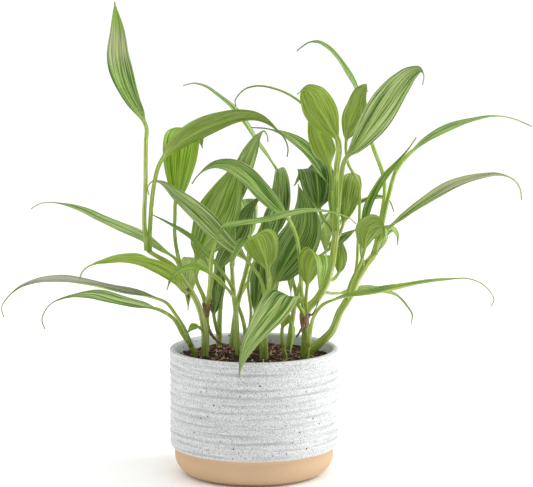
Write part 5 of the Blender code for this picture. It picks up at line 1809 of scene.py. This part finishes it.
@dataclass
class Soil:
    """The potting soil, mounded and crumbly on top, with bark chips and fibres on it."""

    radius: float = 78.7
    bottom: float = 8.3
    edge: float = 116.0
    edge_drop: float = 6.0
    bottom_round: float = 14.0
    round_turns: tuple[int, ...] = (30, 60, 90)
    cells: int = 110
    mound_height: float = 7.0
    mound_width: float = 44.0
    mound_x: float = -8.0
    mound_y: float = 4.0
    lump_height: float = 0.9
    lump_x: float = 0.23
    lump_y: float = 0.27
    lump_slant: float = 0.14
    lump_shift: float = 1.0
    clods: float = 1.9
    clod_pitch: float = 0.11
    clod_seed: float = 3.1
    crumbs: float = 0.8
    crumb_pitch: float = 0.5
    crumb_seed: float = 7.7
    crumb_octaves: int = 3
    settled: float = 0.8
    chips: int = 420
    chip_shapes: int = 9
    chip_size: tuple[Span, Span, Span] = ((1.1, 2.6), (0.7, 1.3), (0.25, 0.5))
    fibres: int = 150
    fibre_shapes: int = 7
    fibre_bits: int = 4
    fibre_bend: float = 0.7
    fibre_rise: Span = (-0.25, 0.3)
    fibre_step: Span = (2.0, 4.0)
    fibre_radius: Span = (0.36, 0.16)
    fibre_stations: int = 9
    fibre_sides: int = 5
    fibre_dark: Colour = (0.180, 0.090, 0.050)
    fibre_pale: Colour = (0.720, 0.540, 0.370)
    pearls: int = 80
    pearl_shapes: int = 4
    pearl_radius: float = 0.8
    pearl_size: Span = (0.75, 1.1)
    margin: float = 3.5
    fibre_margin: float = 16.0
    copy_size: Span = (0.6, 1.5)
    lift: float = 0.3
    lean: float = 0.35
    seed: int = 5

    def rest_height(self, x: float, y: float) -> float:
        """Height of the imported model's soil."""
        apart = (x - self.mound_x) ** 2 + (y - self.mound_y) ** 2
        mound = self.mound_height * math.exp(-apart / (2 * self.mound_width ** 2))
        lumps = math.sin(self.lump_x * x + self.lump_shift) * math.sin(self.lump_y * y + self.lump_slant * x)
        return self.edge + mound + self.lump_height * lumps

    def height(self, x: float, y: float) -> float:
        """Height of the crumbly surface."""
        clod = Vector((x * self.clod_pitch, y * self.clod_pitch, self.clod_seed))
        crumb = Vector((x * self.crumb_pitch, y * self.crumb_pitch, self.crumb_seed))
        crumbs = self.crumbs * noise.turbulence(crumb, self.crumb_octaves, False)
        return self.rest_height(x, y) + self.clods * noise.noise(clod) + crumbs - self.settled

    def wall(self) -> list[Span]:
        """The radius and height of each step down the soil's side, to its rounded bottom edge."""
        steps = [(self.radius, self.edge - self.edge_drop), (self.radius, self.bottom + self.bottom_round)]
        for turn in self.round_turns:
            inward = self.bottom_round * (1 - math.cos(math.radians(turn)))
            above = self.bottom_round * (1 - math.sin(math.radians(turn)))
            steps.append((self.radius - inward, self.bottom + above))
        return steps

    def block(self) -> bpy.types.Object:
        """A grid laid on a disc as the top, pulled down as a wall to a rounded bottom."""
        deselect()
        bpy.ops.mesh.primitive_grid_add(x_subdivisions=self.cells, y_subdivisions=self.cells, size=2)
        piece = bpy.context.object
        for point in piece.data.vertices:
            u, v = point.co.x, point.co.y
            x = self.radius * u * math.sqrt(1 - v * v / 2)
            y = self.radius * v * math.sqrt(1 - u * u / 2)
            point.co = Vector((x, y, self.height(x, y))) * MM
        edit(piece)
        bpy.ops.mesh.select_all(action="DESELECT")
        bpy.ops.mesh.select_non_manifold()
        at, reach = self.edge, self.radius
        for number, (radius, z) in enumerate(self.wall()):
            bpy.ops.mesh.extrude_edges_move(TRANSFORM_OT_translate={"value": (0, 0, (z - at) * MM)})
            if number == 0:
                self.level_rim(piece, z)
            grow = radius / reach
            bpy.ops.transform.resize(value=(grow, grow, 1), center_override=(0, 0, 0))
            at, reach = z, radius
        bpy.ops.mesh.edge_face_add()
        bpy.ops.mesh.select_all(action="SELECT")
        bpy.ops.mesh.normals_make_consistent(inside=False)
        leave_edit()
        return piece

    def level_rim(self, piece: bpy.types.Object, z: float) -> None:
        """Brings the selected rim of the block to one height."""
        shape = bmesh.from_edit_mesh(piece.data)
        for point in shape.verts:
            if point.select:
                point.co.z = z * MM
        bmesh.update_edit_mesh(piece.data)

    def scattered(self, draw: random.Random, margin: float) -> Span:
        """A random place on the soil, at least a margin from the pot's wall."""
        angle = draw.uniform(0, 2 * math.pi)
        reach = (self.radius - margin) * math.sqrt(draw.random())
        return reach * math.cos(angle), reach * math.sin(angle)

    def chip(self, draw: random.Random) -> bpy.types.Object:
        """One flat, broken chip of bark at the origin."""
        bpy.ops.mesh.primitive_ico_sphere_add(subdivisions=1, radius=MM)
        piece = bpy.context.object
        for point in piece.data.vertices:
            for axis, sizes in enumerate(self.chip_size):
                point.co[axis] *= draw.uniform(*sizes)
        return piece

    def fibre(self, draw: random.Random) -> bpy.types.Object:
        """One thin, bent root fibre at the origin."""
        points = [np.array((0.0, 0.0, 0.0))]
        turn = draw.uniform(0, 2 * math.pi)
        for _ in range(self.fibre_bits):
            turn += draw.uniform(-self.fibre_bend, self.fibre_bend)
            step = np.array((math.cos(turn), math.sin(turn), draw.uniform(*self.fibre_rise)))
            points.append(points[-1] + step * draw.uniform(*self.fibre_step))
        route = Route(points)
        lengths = route.stations(0, len(route.points) - 1, self.fibre_stations)
        radius = np.linspace(*self.fibre_radius, self.fibre_stations)[:, None].repeat(self.fibre_sides, 1)
        share = lengths / route.lengths[-1]
        tangent = unit(route.at(lengths, route.tangents))
        return tube("fibre", route.at(lengths, route.points), tangent, radius, share, share * 0)

    def pearl(self, draw: random.Random) -> bpy.types.Object:
        """One pale, rounded grain at the origin."""
        bpy.ops.mesh.primitive_ico_sphere_add(subdivisions=1, radius=self.pearl_radius * MM)
        piece = bpy.context.object
        for point in piece.data.vertices:
            point.co *= draw.uniform(*self.pearl_size)
        return piece

    def strewn(self, mesh: bpy.types.Mesh, kind: Litter, draw: random.Random) -> bpy.types.Object:
        """Lays a copy of a mesh somewhere on the soil.

        Args:
            mesh: the mesh to copy.
            kind: the kind of litter that it belongs to.
            draw: the random numbers.

        Returns:
            The copy as an object at the origin, with its place in its mesh.
        """
        x, y = self.scattered(draw, kind.margin)
        size = draw.uniform(*self.copy_size)
        place = Matrix.Translation(Vector((x, y, self.height(x, y) + self.lift * size)) * MM)
        turn = Matrix.Rotation(draw.uniform(0, 2 * math.pi), 4, "Z")
        roll = Matrix.Rotation(draw.gauss(0, self.lean), 4, "X")
        pitch = Matrix.Rotation(draw.gauss(0, self.lean), 4, "Y")
        laid = mesh.copy()
        laid.transform(place @ turn @ roll @ pitch @ Matrix.Scale(size, 4))
        copy = bpy.data.objects.new(kind.name, laid)
        bpy.context.collection.objects.link(copy)
        return copy

    def spread(self, kind: Litter, draw: random.Random) -> bpy.types.Object:
        """Strews copies of a few shapes of one kind over the soil and joins them."""
        shapes = [kind.shape(draw) for _ in range(kind.variants)]
        finish = kind.finish.material()
        made = [self.strewn(shapes[index % kind.variants].data, kind, draw) for index in range(kind.count)]
        for shape in shapes:
            bpy.data.objects.remove(shape)
        piece = joined(made, kind.name)
        piece.data.materials.clear()
        piece.data.materials.append(finish)
        return piece

    def build(self) -> list[bpy.types.Object]:
        """Builds the soil and what lies on it.

        Returns:
            The soil, and its litter as one piece.
        """
        draw = random.Random(self.seed)
        piece = joined([self.block()], "potting_soil")
        bpy.ops.object.shade_smooth()
        piece.data.materials.append(PeatFinish().material())
        place_piece(piece, ["soil"])
        fibre = BarkFinish(self.fibre_dark, self.fibre_pale)
        kinds = (
            Litter("bark_chips", self.chip, self.chip_shapes, self.chips, self.margin, BarkFinish()),
            Litter("root_fibres", self.fibre, self.fibre_shapes, self.fibres, self.fibre_margin, fibre),
            Litter("pale_grains", self.pearl, self.pearl_shapes, self.pearls, self.margin, PearlFinish()),
        )
        litter = joined([self.spread(kind, draw) for kind in kinds], "bark_litter")
        place_piece(litter, ["soil"])
        return [piece, litter]


# Studio


@dataclass(frozen=True)
class Softbox:
    """A soft rectangular light that faces the plant, in metres and watts."""

    name: str
    place: Point
    power: float
    target: Point = (0, 0, 0.2)
    width: float = 1.2
    height: float = 1.6

    def build(self) -> None:
        """Hangs the light."""
        turn = (Vector(self.target) - Vector(self.place)).to_track_quat("-Z", "Y").to_euler()
        bpy.ops.object.light_add(type="AREA", location=self.place, rotation=turn)
        light = bpy.context.object
        light.name = self.name
        light.data.shape = "RECTANGLE"
        light.data.size = self.width
        light.data.size_y = self.height
        light.data.energy = self.power


@dataclass
class Studio:
    """Plain pale floor, soft light and the camera, in metres."""

    floor_size: float = 60.0
    sky: float = 0.20
    dome_height: float = 3.0
    dome_power: float = 2.8
    dome_spread: float = math.radians(100)
    softboxes: tuple[Softbox, ...] = (
        Softbox("key_right", (1.9, 0.1, 0.9), 34),
        Softbox("fill_left", (-1.9, 0.2, 0.8), 10),
    )

    def build(self) -> None:
        """Builds the studio."""
        deselect()
        bpy.context.scene.camera = EYE.camera()
        bpy.ops.mesh.primitive_plane_add(size=self.floor_size)
        floor = bpy.context.object
        floor.name = "studio_floor"
        floor.data.materials.append(FloorFinish().material())
        world = bpy.data.worlds.new("studio_sky")
        bpy.context.scene.world = world
        world.use_nodes = True
        background = world.node_tree.nodes["Background"]
        background.inputs["Color"].default_value = (1, 1, 1, 1)
        background.inputs["Strength"].default_value = self.sky
        bpy.ops.object.light_add(type="SUN", location=(0, 0, self.dome_height), rotation=(0, 0, 0))
        dome = bpy.context.object
        dome.name = "overhead_dome"
        dome.data.energy = self.dome_power
        dome.data.angle = self.dome_spread
        for softbox in self.softboxes:
            softbox.build()
        view = bpy.context.scene.view_settings
        view.view_transform = "Standard"
        view.look = "None"


def main() -> None:
    """Builds the studio, the pot, the soil and the foliage."""
    logging.basicConfig(level=logging.INFO, format="%(name)s: %(message)s")
    Studio().build()
    Pot().build()
    soil = Soil()
    soil.build()
    finishes = (LeafFinish().material(), CaneFinish().material(), DriedFinish().material())
    for number, stem in enumerate(STEMS):
        stem.build(soil, finishes, FIRST_SEED + STEM_SEED * number)


if __name__ == "__main__":
    main()
